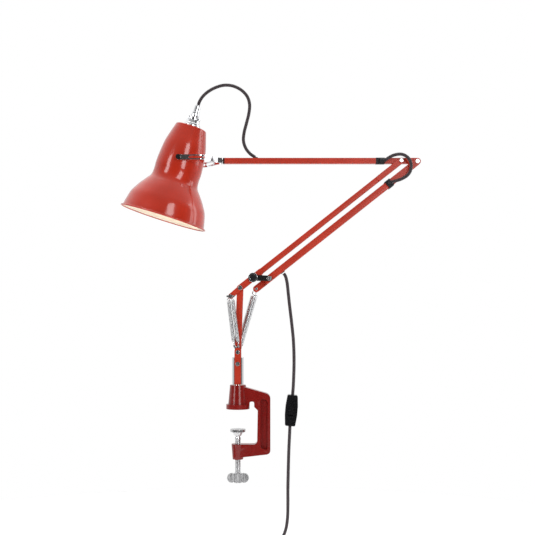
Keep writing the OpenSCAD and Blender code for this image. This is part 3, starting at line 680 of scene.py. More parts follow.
def make_finishes():
    """One material for each of the record's slots, and two that only the looks use."""
    c = bpy.context.scene.lamp_colours
    k = bpy.context.scene.lamp_cable
    return {
        "arm_paint": enamel("Arm enamel", tuple(c.arm), 0.34, coat=0.1, wear=0.1, dust=0.03),
        "shade_paint": enamel(
            "Shade enamel", tuple(c.shade), 0.2, coat=0.5, wear=0.03, ripple=0.02, dust=0.02
        ),
        "shade_inside": enamel(
            "Cream enamel", tuple(c.inside), 0.45, coat=0.2, wear=0.0, ripple=0.04, dust=0.0
        ),
        "clamp_paint": enamel(
            "Clamp enamel", tuple(c.casting), 0.28, coat=0.4, wear=0.1, ripple=0.35, dust=0.02
        ),
        "chrome_plate": metal("Chrome plate", (0.86, 0.87, 0.89), 0.09, depth=0.02, shade=0.93),
        "bright_steel": metal("Bright steel", (0.68, 0.68, 0.69), 0.24),
        "spring_wire": metal("Spring wire", (0.7, 0.7, 0.71), 0.2, stretch=(900.0, 900.0, 900.0)),
        "bush_brass": metal("Turned brass", (0.72, 0.5, 0.2), 0.25, stretch=(60.0, 60.0, 1500.0)),
        "black_paint": enamel(
            "Black enamel", (0.008, 0.008, 0.009), 0.32, coat=0.2, worn=(0.3, 0.3, 0.3), wear=0.1, dust=0.02
        ),
        "black_plastic": plastic("Satin plastic", (0.006, 0.006, 0.007), 0.42),
        "rubber": plastic("Rubber", (0.022, 0.022, 0.024), 0.62, ripple=0.2, size=2200.0),
        "brown_plastic": plastic("Brown plastic", (0.06, 0.016, 0.012), 0.35),
        "black_gloss": plastic("Gloss plastic", (0.005, 0.005, 0.006), 0.22, ripple=0.05, coat=0.5),
        "cable_braid": braided("Cable braid", tuple(c.braid), tuple(c.thread), k.strands),
        "tie_band": felt_band("Tie band"),
        "bulb_metal": metal("Bulb cap", (0.78, 0.78, 0.78), 0.3, stretch=(90.0, 90.0, 1800.0)),
        "bulb_glass": opal_glass("Opal glass"),
    }


FINISH = {}


def finish(slot):
    """The material of one slot, made with all the others the first time it is asked for."""
    if not FINISH:
        FINISH.update(make_finishes())
    return FINISH[slot]


# ---------------------------------------------------------------- stage

CAMERA_AT = (0.0634, -1.6245, 0.1604)
CAMERA_LENS = 63.9  # mm, on a sensor 36 mm wide
CAMERA_SHIFT = (-0.014, 0.0888)
FLOOR_DROP = 0.034  # floor below the lowest piece
FLOOR_RADIUS = 1.45


def softbox(name, at, aim, width, height, power):
    """A soft studio light: a rectangle that faces the point it is aimed at."""
    light = bpy.data.lights.new(name, "AREA")
    light.shape = "RECTANGLE"
    light.size, light.size_y = width, height
    light.energy = power
    holder = bpy.data.objects.new(name, light)
    bpy.context.scene.collection.objects.link(holder)
    holder.location = at
    holder.rotation_euler = (Vector(aim) - Vector(at)).to_track_quat("-Z", "Y").to_euler()
    return holder


def studio_world():
    """White surround as the camera sees it. What it lights sees a room: dark behind the camera,
    bright behind the lamp, so that plated parts have something to reflect."""
    world = bpy.data.worlds.new("Studio")
    bpy.context.scene.world = world
    world.use_nodes = True
    n = Nodes(world.node_tree)
    way = n.add("ShaderNodeSeparateXYZ", Vector=n.add("ShaderNodeTexCoord").outputs["Generated"])
    room = n.ramp(way.outputs["Y"], -0.55, 0.5, 0.05, 0.8)
    ceiling = n.math("MULTIPLY", n.ramp(way.outputs["Z"], 0.1, 0.9), 0.5)
    fill = n.add("ShaderNodeBackground", Color=(1, 1, 1), Strength=n.math("ADD", room, ceiling))
    seen = n.add("ShaderNodeBackground", Color=(1, 1, 1), Strength=1.0)
    path = n.add("ShaderNodeLightPath")
    both = n.add("ShaderNodeMixShader", Fac=path.outputs["Is Camera Ray"])
    world.node_tree.links.new(fill.outputs[0], both.inputs[1])
    world.node_tree.links.new(seen.outputs[0], both.inputs[2])
    out = n.add("ShaderNodeOutputWorld")
    world.node_tree.links.new(both.outputs[0], out.inputs["Surface"])


class LAMP_OT_stage(Operator):
    """Lay the pale floor, set the soft lights and the camera"""

    bl_idname = "lamp.stage"
    bl_label = "Stage"

    def execute(self, context):
        scene = context.scene
        scene.view_settings.view_transform = "Standard"
        eye = bpy.data.cameras.new("Camera")
        eye.lens = CAMERA_LENS
        eye.shift_x, eye.shift_y = CAMERA_SHIFT
        eye.clip_end = 100
        camera = bpy.data.objects.new("Camera", eye)
        camera.location = CAMERA_AT
        camera.rotation_euler = (math.pi / 2, 0, 0)
        scene.collection.objects.link(camera)
        scene.camera = camera

        low = CAD_BOX[0][2] - FLOOR_DROP
        r = np.linspace(0.0, FLOOR_RADIUS, 4)[:, None]
        a = np.linspace(0, 2 * np.pi, 96, endpoint=False)[None, :]
        disc = np.stack([r * np.cos(a), r * np.sin(a), np.full((4, 96), low)], -1)
        m, n, shader = start_material("Pale floor", Roughness=0.7)
        place = n.add("ShaderNodeTexCoord").outputs["Object"]
        cloud = n.add("ShaderNodeTexNoise", Vector=place, Scale=1.5, Detail=2.0)
        n.put(shader, "Base_Color", n.mix(cloud.outputs["Fac"], (0.9, 0.9, 0.9), (0.93, 0.93, 0.93)))
        floor = new_piece("floor", disc, grid_faces(4, 96), m)
        tidy(floor)

        studio_world()
        softbox("Left box", (-1.5, -1.45, 0.8), (-0.1, 0, 0.4), 0.55, 1.3, 16)
        softbox("Right box", (0.95, -2.0, 0.8), (0.0, 0, 0.35), 0.7, 1.3, 20)
        softbox("Top box", (0.2, 0.7, 2.3), (0.1, 0, 0.2), 1.6, 1.0, 26)
        softbox("Side box", (2.0, 0.3, 0.9), (0.1, 0, 0.3), 0.9, 1.3, 10)
        return {"FINISHED"}


# ---------------------------------------------------------------- cables

# Routes in metres, through the CAD cable's points. The shade cable runs on into its grommet, and the
# lower mains cable drifts back to meet its coil.
SHADE_ROUTE = MM * np.array([
    [-68.2, 0, 518.3], [-65.2, 0, 526.5], [-59, 0, 535.5], [-49.5, 0, 543.5], [-37, 0, 550],
    [-23, 0, 553.5], [-8, 0, 552], [6, 0, 545], [16, 0, 534], [20, 0, 520], [18.5, 0, 504],
    [14.5, 0, 488], [10.5, 0, 472], [9.5, 0, 458], [13.5, 0, 445.5], [20.5, 0, 436.6], [25.5, 0, 432.9],
    [29.5, 0, 430.2],
])
ELBOW_ROUTE = MM * np.array([
    [250, -8.5, 423], [257, -10.5, 428], [266, -13, 432], [278, -14.5, 433], [288.5, -15, 427.5],
    [294, -15, 417], [293, -15, 405], [287, -14.5, 396.5], [277.5, -13.5, 391], [268, -12.2, 388],
    [261, -11.5, 386.6],
])
UPPER_MAINS = MM * np.array([
    [78.3, 0, 231.5], [81, 0, 227.5], [83, 0, 221], [84.6, 0, 212], [88, 0, 180], [92, 0, 146],
    [95, 0, 115], [96, 0, 80], [95, 0, 45], [93.6, 0, 24],
])
LOWER_MAINS = MM * np.array([
    [89, 0, -29], [88.2, 0, -47], [87.2, 0, -68], [86.5, 0, -90], [86, 0, -111], [85.5, 0, -135],
    [85.5, 0, -160], [85, 0.5, -185], [82, 1.5, -206], [75, 3, -224], [66, 4.2, -238], [57, 5, -250.5],
])
TAIL = MM * np.array([[48, 0, -297], [47.5, 0, -307]])
COIL_MID = MM * np.array([85.5, 0, -285])
COIL_START, COIL_END = math.radians(152), math.radians(183)
# places in the bundle for each turn in order: [outwards, across], in cable diameters
COIL_PLACES = np.array([[1, 1], [0, 1], [-1, 0], [0, 0], [0, -1], [1, -1], [1, 0]])
CORD_STEP = 0.0018
CORD_SIDES = 16
ON_THE_CORD = ("coil_tie_skin", "switch_case_skin", "switch_rocker_skin", "plug_shell", "plug_pins_skin")


def coil_turns(cord_d, radius):
    """Centre line of the stored turns. The angle runs up from the start; each turn keeps its own
    place in the bundle, and slides to the next one over the last quarter of the turn."""
    whole = len(COIL_PLACES) - 1
    angle = np.linspace(0, COIL_END - COIL_START + 2 * np.pi * whole, 24 * (whole + 1))
    turn = angle / (2 * np.pi)
    low = np.minimum(turn.astype(int), whole)
    high = np.minimum(low + 1, whole)
    slide = np.clip((turn - low - 0.72) / 0.28, 0, 1)[:, None]
    slide = slide * slide * (3 - 2 * slide)
    place = COIL_PLACES[low] * (1 - slide) + COIL_PLACES[high] * slide
    out = radius + cord_d * place[:, :1]
    return COIL_MID + out * flat(COIL_START + angle) + cord_d * place[:, 1:] * ACROSS


def cable(name, path, frames, body, nodes=(), **facts):
    """One stretch of braided cable along a path."""
    d = bpy.context.scene.lamp_cable.cord_d
    piece = wire(name, path, d / 2, CORD_SIDES, finish("cable_braid"), frames)
    if isinstance(body, str):
        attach(piece, body)
    else:
        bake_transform(piece)
    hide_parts(*nodes)
    facts.setdefault("far_end", "object")


def chained(names, path, cuts, bodies, node, **facts):
    """A cable over several joints: the whole path is cut at the given lengths, one piece for each stretch."""
    run = run_length(path)
    frames = carried_frames(path)
    ends = [0] + [int(np.argmin(abs(run - c))) for c in cuts] + [len(path) - 1]
    for i, name in enumerate(names):
        part = slice(ends[i], ends[i + 1] + 1)
        cable(name, path[part], (frames[0][part], frames[1][part]), bodies[i], nodes=(node,), **facts)


def at_length(path, length):
    """The point of the path at that length along it."""
    return path[int(np.argmin(abs(run_length(path) - length)))]


class LAMP_OT_cables(Operator):
    """Run the braided cable: shade to arm, round the elbow, and down to the switch, coil and plug"""

    bl_idname = "lamp.cables"
    bl_label = "Cables"

    def execute(self, context):
        sizes = context.scene.lamp_cable
        d = sizes.cord_d

        path = spline(SHADE_ROUTE, CORD_STEP)
        arch = float(run_length(path)[int(np.argmax(path[:, 2]))])
        whole = float(run_length(path)[-1])
        chained(
            ["shade_cable_rise", "shade_cable_fall"], path, [arch],
            [
                ("shade", "fork", at_length(path, 0.012), at_length(path, arch - 0.004)),
                ("fork", "upper_arm", at_length(path, arch + 0.004), at_length(path, whole - 0.03)),
            ],
            "shade_cord", stiffness="medium", lay="loose",
        )

        path = spline(ELBOW_ROUTE, CORD_STEP)
        frames = carried_frames(path)
        ends = ("upper_arm", "rear_head", at_length(path, 0.02), path[-8])
        cable("elbow_cable", path, frames, ends, nodes=("elbow_cord",), lay="loose")

        path = spline(UPPER_MAINS, CORD_STEP)
        chained(
            ["mains_cable_outlet", "mains_cable_bend", "mains_cable_drop"], path, [0.036, 0.072],
            [
                ("rear_bar", "link", at_length(path, 0.004), at_length(path, 0.034)),
                ("link", "main_bar", at_length(path, 0.038), at_length(path, 0.070)),
                ("main_bar", "post", at_length(path, 0.074), at_length(path, 0.170)),
            ],
            "mains_cord", lay="hanging",
        )

        path = spline(np.vstack([LOWER_MAINS, coil_turns(d, sizes.coil_r), TAIL]), CORD_STEP)
        cable(
            "mains_cable_store", path, carried_frames(path), "post", nodes=("mains_cord", "mains_coil"),
            far_end="plug", lay="coiled",
            with_pieces=[bpy.data.objects[k] for k in ON_THE_CORD],
        )
        return {"FINISHED"}


# ---------------------------------------------------------------- springs

PITCH_PER_WIRE = 1.12  # turns all but touch
WIRE_SIDES = 8


def spring_path(foot, top, radius, hook, pitch):
    """Centre line of an extension spring: a hook's eye at each end, a short shank, and between them
    a helix, foot plus height along the axis plus radius times (cos a, sin a), a running with height."""
    axis = unit(top - foot)
    side = unit(np.cross(ACROSS, axis))
    length = float(np.linalg.norm(top - foot))
    body = length - 2 * hook
    turns = int(body / pitch)
    a = np.linspace(0, 2 * np.pi * turns, turns * 20)
    rise = hook + body * a / a[-1]
    round_axis = np.cos(a)[:, None] * side + np.sin(a)[:, None] * ACROSS
    helix = foot + rise[:, None] * axis + radius * round_axis
    eye_r = min(radius, hook * 0.42)
    b = np.linspace(-1.35 * np.pi, 0, 22)[:, None]
    eye = eye_r * (np.cos(b) * axis + np.sin(b) * side)
    low = foot + eye_r * axis - eye
    high = top - eye_r * axis + eye
    return np.vstack([low, helix, high[::-1]])


def spring(name, foot, top, outer, wire_d, hook, parts, node):
    """A sprung wire between two pins, cut into stretches at the given shares of its height."""
    path = spring_path(foot, top, (outer - wire_d) / 2, hook, wire_d * PITCH_PER_WIRE)
    axis = unit(top - foot)
    height = (path - foot) @ axis / np.linalg.norm(top - foot)
    frames = carried_frames(path)
    start = 0
    for i, (bodies, share, blend) in enumerate(parts):
        end = len(path) - 1 if share >= 1 else int(np.argmax(height > share))
        part = slice(start, end + 1)
        label = name if len(parts) == 1 else f"{name}_{i + 1}"
        across = (frames[0][part], frames[1][part])
        piece = wire(label, path[part], wire_d / 2, WIRE_SIDES, finish("spring_wire"), across)
        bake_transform(piece)
        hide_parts(node)
        start = end


def spring_ends(node):
    """Foot and top of a straight CAD spring, from the ends of its box."""
    low, high = (np.array(c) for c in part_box(node))
    co = np.empty(len(frame["nodes"][node].data.vertices) * 3)
    frame["nodes"][node].data.vertices.foreach_get("co", co)
    co = co.reshape(-1, 3)
    near = 0.0016
    foot = co[co[:, 2] < low[2] + near]
    top = co[co[:, 2] > high[2] - near]
    return (foot.min(0) + foot.max(0)) / 2, (top.min(0) + top.max(0)) / 2


class LAMP_OT_springs(Operator):
    """Wind the three balance springs with their hooks"""

    bl_idname = "lamp.springs"
    bl_label = "Springs"

    def execute(self, context):
        s = context.scene.lamp_springs
        for node in ("front_spring_left", "front_spring_right"):
            foot, top = spring_ends(node)
            spring(
                node + "_wire", foot, top, s.front_d, s.front_wire, 0.005,
                [(("post", "main_bar"), 1, (0.04, 0.95))], node,
            )
        foot, top = spring_ends("rear_spring")
        spring(
            "rear_spring_wire", foot, top, s.rear_d, s.rear_wire, 0.010,
            [
                (("post", "main_bar"), 0.80, (0.05, 0.78)),
                (("main_bar", "link"), 0.90, (0.81, 0.89)),
                (("link", "rear_bar"), 1, (0.91, 0.97)),
            ],
            "rear_spring",
        )
        return {"FINISHED"}


# ---------------------------------------------------------------- shade and lampholder

# outside of the shade: [share of its height, share of the rim's radius]
SHADE_LINE = np.array([
    [0.022, 0.957], [0.105, 0.918], [0.178, 0.873], [0.24, 0.8], [0.3, 0.715], [0.352, 0.63],
    [0.395, 0.56], [0.44, 0.534], [0.5, 0.53], [0.545, 0.535], [0.64, 0.523], [0.786, 0.484],
    [0.9, 0.418], [0.985, 0.362],
])
PIVOT_SHARE = 0.63  # of the shade's height, at the pivot bolts
CROWN_HOLE = 10.4 * MM
SHADE_STEP = 2.2 * MM


def shade_axis():
    """The rim's centre and the direction of the shade's axis."""
    s = bpy.context.scene.lamp_shade
    axis = np.array([math.sin(s.lean), 0.0, math.cos(s.lean)])
    return PIVOT["shade_tilt"] - PIVOT_SHARE * s.height * axis, axis


def shade_outline(s):
    """Closed outline of the spun shell, and which rows of it are cream inside. The lip is rolled
    outwards: an arc of radius lip round a point on the rim."""
    rim = s.rim_d / 2
    points = np.column_stack([SHADE_LINE[:, 1] * rim, SHADE_LINE[:, 0] * s.height, np.zeros(len(SHADE_LINE))])
    line = spline(points, SHADE_STEP)[:, :2]
    slope = unit(np.gradient(line, axis=0))
    inner = line + s.wall * np.stack([-slope[:, 1], slope[:, 0]], -1)
    a = np.radians(np.linspace(250, -75, 16))
    middle = np.array([rim - s.lip, s.lip])
    roll = middle + s.lip * np.stack([np.cos(a), np.sin(a)], -1)
    roll = roll[roll[:, 0] > middle[0] - 0.9 * s.lip][::-1]
    crown_r = line[-1, 0]
    b = np.radians(np.linspace(15, 90, 8))
    shoulder = np.array([crown_r - 0.0025, s.height - 0.0025]) + 0.0025 * np.stack([np.cos(b), np.sin(b)], -1)
    top = np.array([[CROWN_HOLE, s.height], [CROWN_HOLE, s.height - s.wall]])
    under = np.array([[crown_r - 0.0035, s.height - s.wall]])
    outside = np.vstack([roll, line, shoulder, top])
    inside = np.vstack([under, inner[::-1]])
    rows = np.concatenate([np.zeros(len(outside) - 1), np.ones(len(inside) + 1)])
    return np.vstack([outside, inside]), rows


class LAMP_OT_shade(Operator):
    """Spin the bell shade and turn the chromed lampholder cover, ring and cable grip"""

    bl_idname = "lamp.shade"
    bl_label = "Shade"

    def execute(self, context):
        s = context.scene.lamp_shade
        base, axis = shade_axis()
        outline, rows = shade_outline(s)
        shell = turned(
            "bell_shade", outline, [finish("shade_paint"), finish("shade_inside")], base, axis,
            steps=s.steps, part_of=rows, sharp=60,
        )
        fit(shell, "shade", "shade_paint", "shade")

        chrome = finish("chrome_plate")
        crown = base + s.height * axis
        skirt = rounded([
            [0.0102, 0.00005, 0], [0.0155, 0.00005, 0.0006], [0.0155, 0.0032, 0.0006],
            [0.0143, 0.0034, 0.0003], [0.0138, 0.0062, 0.001], [0.0120, 0.0072, 0.0008],
            [0.0112, 0.0120, 0.0008], [0.0092, 0.0125, 0.0002], [0.0092, 0.002, 0],
        ])
        cover = turned("holder_cover", skirt, chrome, crown, axis, steps=96)
        fit(cover, "shade", "chrome_plate", "holder_skirt")

        ring = rounded([
            [0.0041, 0.0126, 0], [0.0105, 0.0126, 0.0006], [0.0105, 0.0176, 0.0006], [0.0041, 0.0176, 0],
        ], 4)
        ring = np.vstack([ring[:6], [[0.0105, z] for z in np.linspace(0.0133, 0.0169, 8)], ring[6:]])

        def knurl(a, r, h):
            """Fine teeth round the ring, only where it is widest."""
            return np.where(r > 0.0104, -0.00028 * (0.5 + 0.5 * np.sign(np.sin(40 * a))), 0.0)

        piece = turned("locking_ring", ring, chrome, crown, axis, steps=320, relief=knurl)
        fit(piece, "shade", "chrome_plate", "holder_ring")

        d = context.scene.lamp_cable.cord_d / 2 + 0.0001
        grip = rounded([
            [d, 0.0177, 0], [0.0068, 0.0177, 0.0005], [0.0071, 0.0190, 0.0003], [0.0071, 0.0222, 0.0004],
            [0.0064, 0.0229, 0.0003], [0.0063, 0.0265, 0.0006], [0.0056, 0.0275, 0.0005],
            [0.0053, 0.0386, 0.0008], [d, 0.0387, 0.0004],
        ])
        fit(turned("cable_gland", grip, chrome, crown, axis, steps=64), "shade", "chrome_plate", "cable_grip")
        return {"FINISHED"}


class LAMP_OT_bulb(Operator):
    """Blow the opal globe and turn the threaded cap"""

    bl_idname = "lamp.bulb"
    bl_label = "Bulb"

    def execute(self, context):
        s = context.scene.lamp_shade
        base, axis = shade_axis()
        r = s.bulb_d / 2
        neck_top = s.height - 0.0321
        mid = neck_top - 0.020 - r + 0.0001
        a = np.radians(np.linspace(-90, 38, 40))
        ball = np.stack([r * np.cos(a), mid + r * np.sin(a)], -1)
        t = np.linspace(0, 1, 12)[1:, None]
        start, end = ball[-1], np.array([0.013, s.height - 0.038])
        bow = np.array([0.013, mid + r * 0.95])
        neck = (1 - t) ** 2 * start + 2 * t * (1 - t) * bow + t**2 * end
        outside = np.vstack([ball, neck, [[0.013, neck_top]]])
        closed = np.vstack([outside, [[0.0, neck_top]]])
        globe = turned("opal_globe", closed, finish("bulb_glass"), base, axis, steps=72, sharp=70)
        fit(globe, "shade", "bulb_glass", "bulb_glass")

        low, high = s.height - 0.032, s.height - 0.0075
        z = np.linspace(low, high - 0.005, 80)

        def thread(a, r, h):
            """A rolled thread: the radius follows a cosine of height over the pitch minus the angle."""
            wave = 0.0006 * (np.cos(2 * np.pi * (h - low) / 0.0036 - a) - 1)
            return np.where(r > 0.0125, wave, 0.0)

        cap = np.vstack([
            [[0, low]], np.stack([np.full(80, 0.013), z], -1),
            [[0.0118, high - 0.0045], [0.0065, high - 0.0015], [0.0045, high], [0, high]],
        ])
        piece = turned("bulb_cap", cap, finish("bulb_metal"), base, axis, steps=72, relief=thread)
        fit(piece, "shade", "bulb_metal", "bulb_base")
        return {"FINISHED"}


# ---------------------------------------------------------------- clamp

THREAD_PITCH = 1.5 * MM
THREAD_DEPTH = 0.75 * MM


class LAMP_OT_clamp(Operator):
    """Cut the clamp screw's thread and dress the casting, the foot and the wing grip"""

    bl_idname = "lamp.clamp"
    bl_label = "Clamp"

    def execute(self, context):
        casting = softened("clamp_frame", finish("clamp_paint"), 1.1 * MM, 3, 24)
        fit(casting, "clamp", "clamp_paint", "clamp_frame")

        low, high = (np.array(c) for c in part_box("clamp_screw"))
        radius = (high[0] - low[0]) / 2
        foot_neck = 0.012  # plain length under the foot
        ends = 0.0015
        z = np.linspace(low[2] + ends, high[2] - foot_neck, 700)
        steps = 40

        def thread(a, r, h):
            """A 60 degree thread: depth times how far the height over the pitch, less the angle, is
            from the middle of its turn."""
            phase = ((h / THREAD_PITCH) - a / (2 * np.pi)) % 1
            groove = THREAD_DEPTH * np.clip(1.15 - 2.6 * np.abs(phase - 0.5), 0, 1)
            run_out = np.clip((high[2] - foot_neck - h) / 0.003, 0, 1)
            run_in = np.clip((h - low[2] - ends) / 0.001, 0, 1)
            return np.where(r > radius - 1e-6, -groove * run_out * run_in, 0.0)

        outline = np.vstack([
            [[0, low[2]], [radius - 0.0012, low[2]]],
            np.stack([np.full(len(z), radius), z], -1),
            [[radius - 0.0001, high[2] - 0.011], [radius - 0.0012, high[2] - 0.0095],
             [radius - 0.0014, high[2]], [0, high[2]]],
        ])
        screw = turned(
            "screw_thread", outline, finish("bright_steel"), (0, 0, 0), UP,
            steps=steps, relief=thread, sharp=75,
        )
        fit(screw, "screw", "bright_steel", "clamp_screw")

        for node, body, width in (("clamp_foot", "foot", 0.6), ("screw_wing", "screw", 1.3)):
            piece = softened(node, finish("bright_steel"), width * MM, 3, 28)
            fit(piece, body, "bright_steel", node)
        return {"FINISHED"}


# ---------------------------------------------------------------- arms and post

# nodes whose edges are broken: width in millimetres and number of segments of the bevel
EDGES = {
    "post_strip_front": (0.4, 2), "post_strip_back": (0.4, 2), "upright": (0.9, 3),
    "spindle_block": (0.7, 2), "lower_spring_yoke": (0.4, 2), "upper_spring_yoke": (0.4, 2),
    "lever_plate_front": (0.5, 2), "lever_plate_back": (0.5, 2), "elbow_cheek_front": (0.5, 2),
    "elbow_cheek_back": (0.5, 2), "link_front": (0.5, 2), "link_back": (0.5, 2),
    "rear_lever": (0.5, 2), "rear_head_cheeks": (0.5, 2), "rear_head_block": (0.4, 2),
    "arm_tube": (0.55, 3), "fork": (0.3, 2), "cable_outlet": (0.35, 2),
    "link_pivot_ring": (0.35, 2), "link_pivot_cap": (0.8, 3), "lower_sleeve": (0.4, 2),
    "upper_sleeve": (0.35, 2), "arm_grommet": (0.3, 2), "arm_end_plug": (0.4, 2),
    "post_bolts": (0.45, 3), "main_pivot_bolt": (0.45, 3), "link_pivot_bolt": (0.45, 3),
    "elbow_bolt": (0.45, 3), "rear_link_bolt": (0.45, 3), "rear_head_bolt": (0.45, 3),
    "rear_spring_pin": (0.45, 3), "swivel_stud": (0.35, 2), "shade_pivot_bolts": (0.5, 3),
    "lampholder": (0.8, 3), "coil_tie": (0.4, 2), "plug_pins": (0.8, 3),
}


def dress(nodes):
    """Breaks the edges of these CAD nodes and paints them in their own finish."""
    for node in nodes:
        width, segments = EDGES[node]
        piece = softened(node, finish(SLOT_OF[node]), width * MM, segments)
        fit(piece, BODY_OF[node], SLOT_OF[node], node)


def square_tube(name, start, end, height, depth, wall, corner, material):
    """Drawn tube: a closed outline of two rounded squares, one inside the other, carried along the
    straight from start to end, with its two mouths closed by the ring between them."""
    along = unit(end - start)
    up = np.cross(along, ACROSS)
    half = np.array([depth / 2, height / 2])

    def loop(inset, radius):
        w, h = half - inset
        return rounded([[-w, -h, radius], [w, -h, radius], [w, h, radius], [-w, h, radius]], 5)

    outer, inner = loop(0, corner), loop(wall, max(corner - wall, 0.0003))
    lip = 0.0003
    mouth = loop(lip, corner)
    rings = [mouth, outer, outer, outer, mouth, inner, inner, inner]
    length = float(np.linalg.norm(end - start))
    places = [0.0, lip, length / 2, length - lip, length, length, length / 2, 0.0]
    verts = np.stack([
        start + t * along + ring[:, :1] * ACROSS + ring[:, 1:] * up for ring, t in zip(rings, places)
    ])
    piece = new_piece(name, verts, grid_faces(len(rings), len(outer), loop_rows=True), material)
    tidy(piece)
    piece.data.set_sharp_from_angle(angle=math.radians(40))
    return piece


def tube_ends(node, pivot, slope):
    """First and last point of a CAD tube's middle line, from its corners along that slope."""
    co = np.empty(len(frame["nodes"][node].data.vertices) * 3)
    frame["nodes"][node].data.vertices.foreach_get("co", co)
    along = flat(slope)
    run = (co.reshape(-1, 3) - pivot) @ along
    return pivot + run.min() * along, pivot + run.max() * along


class LAMP_OT_arms(Operator):
    """Draw the square tubes of the lower arms and dress the plates, pivots and sleeves"""

    bl_idname = "lamp.arms"
    bl_label = "Arms"

    def execute(self, context):
        reach = PIVOT["elbow"] - PIVOT["main_lift"]
        slope = math.atan2(reach[2], reach[0])
        rear = PIVOT["main_lift"] + PIVOT["rear_turn"] - PIVOT["link_turn"]
        for node, pivot, body, height in (
            ("main_tube", PIVOT["main_lift"], "main_bar", 9.5), ("rear_tube", rear, "rear_bar", 11.5),
        ):
            start, end = tube_ends(node, pivot, slope)
            tube = square_tube(
                node + "_drawn", start, end, height * MM, 10.5 * MM, 1.2 * MM, 1.4 * MM, finish("arm_paint")
            )
            fit(tube, body, "arm_paint", node)
        dress([
            "lever_plate_front", "lever_plate_back", "main_pivot_bolt", "upper_spring_yoke",
            "link_pivot_bolt", "link_pivot_ring", "link_pivot_cap", "elbow_cheek_front",
            "elbow_cheek_back", "elbow_bolt", "link_front", "link_back", "rear_lever", "rear_link_bolt",
            "rear_spring_pin", "cable_outlet", "rear_head_cheeks", "rear_head_block", "rear_head_bolt",
            "lower_sleeve", "arm_tube", "arm_end_plug", "upper_sleeve", "arm_grommet",
        ])
        return {"FINISHED"}


class LAMP_OT_post(Operator):
    """Dress the turning post: its block, strips, upright, bolts and the springs' lower yoke"""

    bl_idname = "lamp.post"
    bl_label = "Post"

    def execute(self, context):
        dress([
            "post_strip_front", "post_strip_back", "upright", "spindle_block", "lower_spring_yoke",
            "post_bolts",
        ])
        for node in ("spindle", "spindle_bush"):
            frame["nodes"][node].data.materials.clear()
            frame["nodes"][node].data.materials.append(finish(SLOT_OF[node]))
        return {"FINISHED"}


class LAMP_OT_fork(Operator):
    """Dress the slotted fork, its swivel stud, the shade's pivot bolts and the lampholder"""

    bl_idname = "lamp.fork"
    bl_label = "Fork"

    def execute(self, context):
        dress(["fork", "swivel_stud", "shade_pivot_bolts", "lampholder"])
        return {"FINISHED"}


# ---------------------------------------------------------------- switch and plug


def loft(name, rings, material, sharp=50):
    """Shell through closed rings of the same number of points, with each end drawn to its centre."""
    rings = np.asarray(rings, float)
    ends = [np.broadcast_to(rings[i].mean(0), rings[i].shape) for i in (0, -1)]
    grid = np.concatenate([ends[0][None], rings, ends[1][None]])
    piece = new_piece(name, grid, grid_faces(len(grid), rings.shape[1]), material)
    tidy(piece)
    piece.data.set_sharp_from_angle(angle=math.radians(sharp))
    return piece


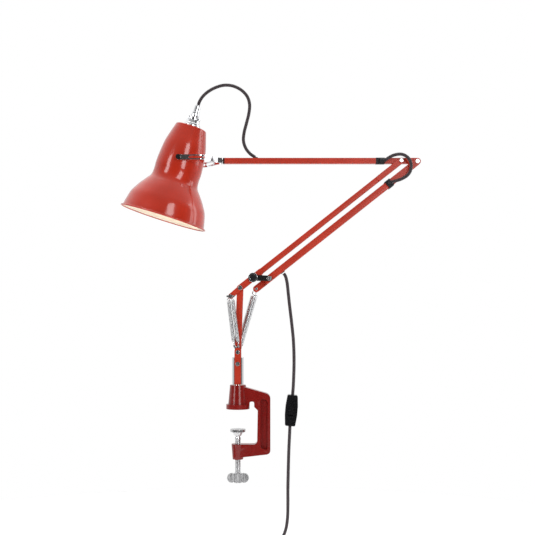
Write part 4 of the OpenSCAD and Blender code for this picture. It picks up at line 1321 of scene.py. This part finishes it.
class LAMP_OT_switch(Operator):
    """Mould the in-line switch, its rocker and the mains plug, and dress the tie and the pins"""

    bl_idname = "lamp.switch"
    bl_label = "Switch and plug"

    def execute(self, context):
        gloss = finish("black_gloss")
        for node, width in (("switch_case", 1.0), ("switch_rocker", 0.5)):
            fit(softened(node, gloss, width * MM, 3, 25), BODY_OF[node], "black_gloss", node)

        low, high = (np.array(c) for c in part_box("plug_body"))
        mid = (low + high) / 2
        width, depth = (high[0] - low[0]) / 2, (high[1] - low[1]) / 2
        neck = context.scene.lamp_cable.cord_d / 2 + 0.0011
        a = np.linspace(0, 2 * np.pi, 64, endpoint=False)[None, :, None]
        tall = high[2] - low[2]
        # share of the height, half width, half depth and squareness of each ring of the body
        rings = np.array([
            [0.000, width * 0.90, depth * 0.86, 4.5], [0.010, width * 0.97, depth * 0.96, 4.5],
            [0.030, width, depth, 4.5], [0.300, width, depth, 4.5], [0.480, width * 0.97, depth, 4.2],
            [0.620, width * 0.80, depth * 0.98, 3.6], [0.700, width * 0.62, depth * 0.95, 3.0],
            [0.730, width * 0.45, depth * 0.93, 2.4],
        ])
        ribs = 9
        t = np.linspace(0.74, 1.0, ribs * 6)
        taper = 0.0062 + (neck - 0.0062) * (t - 0.74) / 0.26
        taper = taper - 0.0006 * (0.5 - 0.5 * np.cos(2 * np.pi * ribs * (t - 0.74) / 0.26))
        rings = np.vstack([rings, np.stack([t, taper, taper, np.full(len(t), 2.0)], -1)])
        h, w, d, n = (rings[:, k, None, None] for k in range(4))
        x = w * np.sign(np.cos(a)) * np.abs(np.cos(a)) ** (2 / n)
        y = d * np.sign(np.sin(a)) * np.abs(np.sin(a)) ** (2 / n)
        z = low[2] + h * tall + 0 * a
        body = loft("plug_shell", np.concatenate([mid[0] + x, mid[1] + y, z], -1), finish("rubber"))
        fit(body, "post", "rubber", "plug_body")
        dress(["coil_tie", "plug_pins"])
        return {"FINISHED"}


STEPS = (
    LAMP_OT_stage, LAMP_OT_clamp, LAMP_OT_post, LAMP_OT_arms, LAMP_OT_springs, LAMP_OT_fork,
    LAMP_OT_shade, LAMP_OT_bulb, LAMP_OT_switch, LAMP_OT_cables,
)


# ---------------------------------------------------------------- panel and start


class LAMP_PT_panel(Panel):
    """The lamp's steps and sizes in the sidebar"""

    bl_idname = "LAMP_PT_panel"
    bl_label = "Desk Lamp"
    bl_space_type = "VIEW_3D"
    bl_region_type = "UI"
    bl_category = "Desk Lamp"

    def draw(self, context):
        layout = self.layout
        for name in GROUPS:
            group = getattr(context.scene, name)
            box = layout.box()
            for key in group.bl_rna.properties.keys():
                if key not in ("rna_type", "name"):
                    box.prop(group, key)
        for step in STEPS:
            layout.operator(step.bl_idname)


CLASSES = (*GROUPS.values(), *STEPS, LAMP_PT_panel)


def register():
    for cls in CLASSES:
        bpy.utils.register_class(cls)
    for name, group in GROUPS.items():
        setattr(bpy.types.Scene, name, PointerProperty(type=group))


def unregister():
    for name in GROUPS:
        delattr(bpy.types.Scene, name)
    for cls in reversed(CLASSES):
        bpy.utils.unregister_class(cls)


def main():
    register()
    for step in STEPS:
        group, name = step.bl_idname.split(".")
        if getattr(getattr(bpy.ops, group), name)() != {"FINISHED"}:
            raise RuntimeError(f"{step.bl_label} didn't finish")


if __name__ == "__main__":
    main()
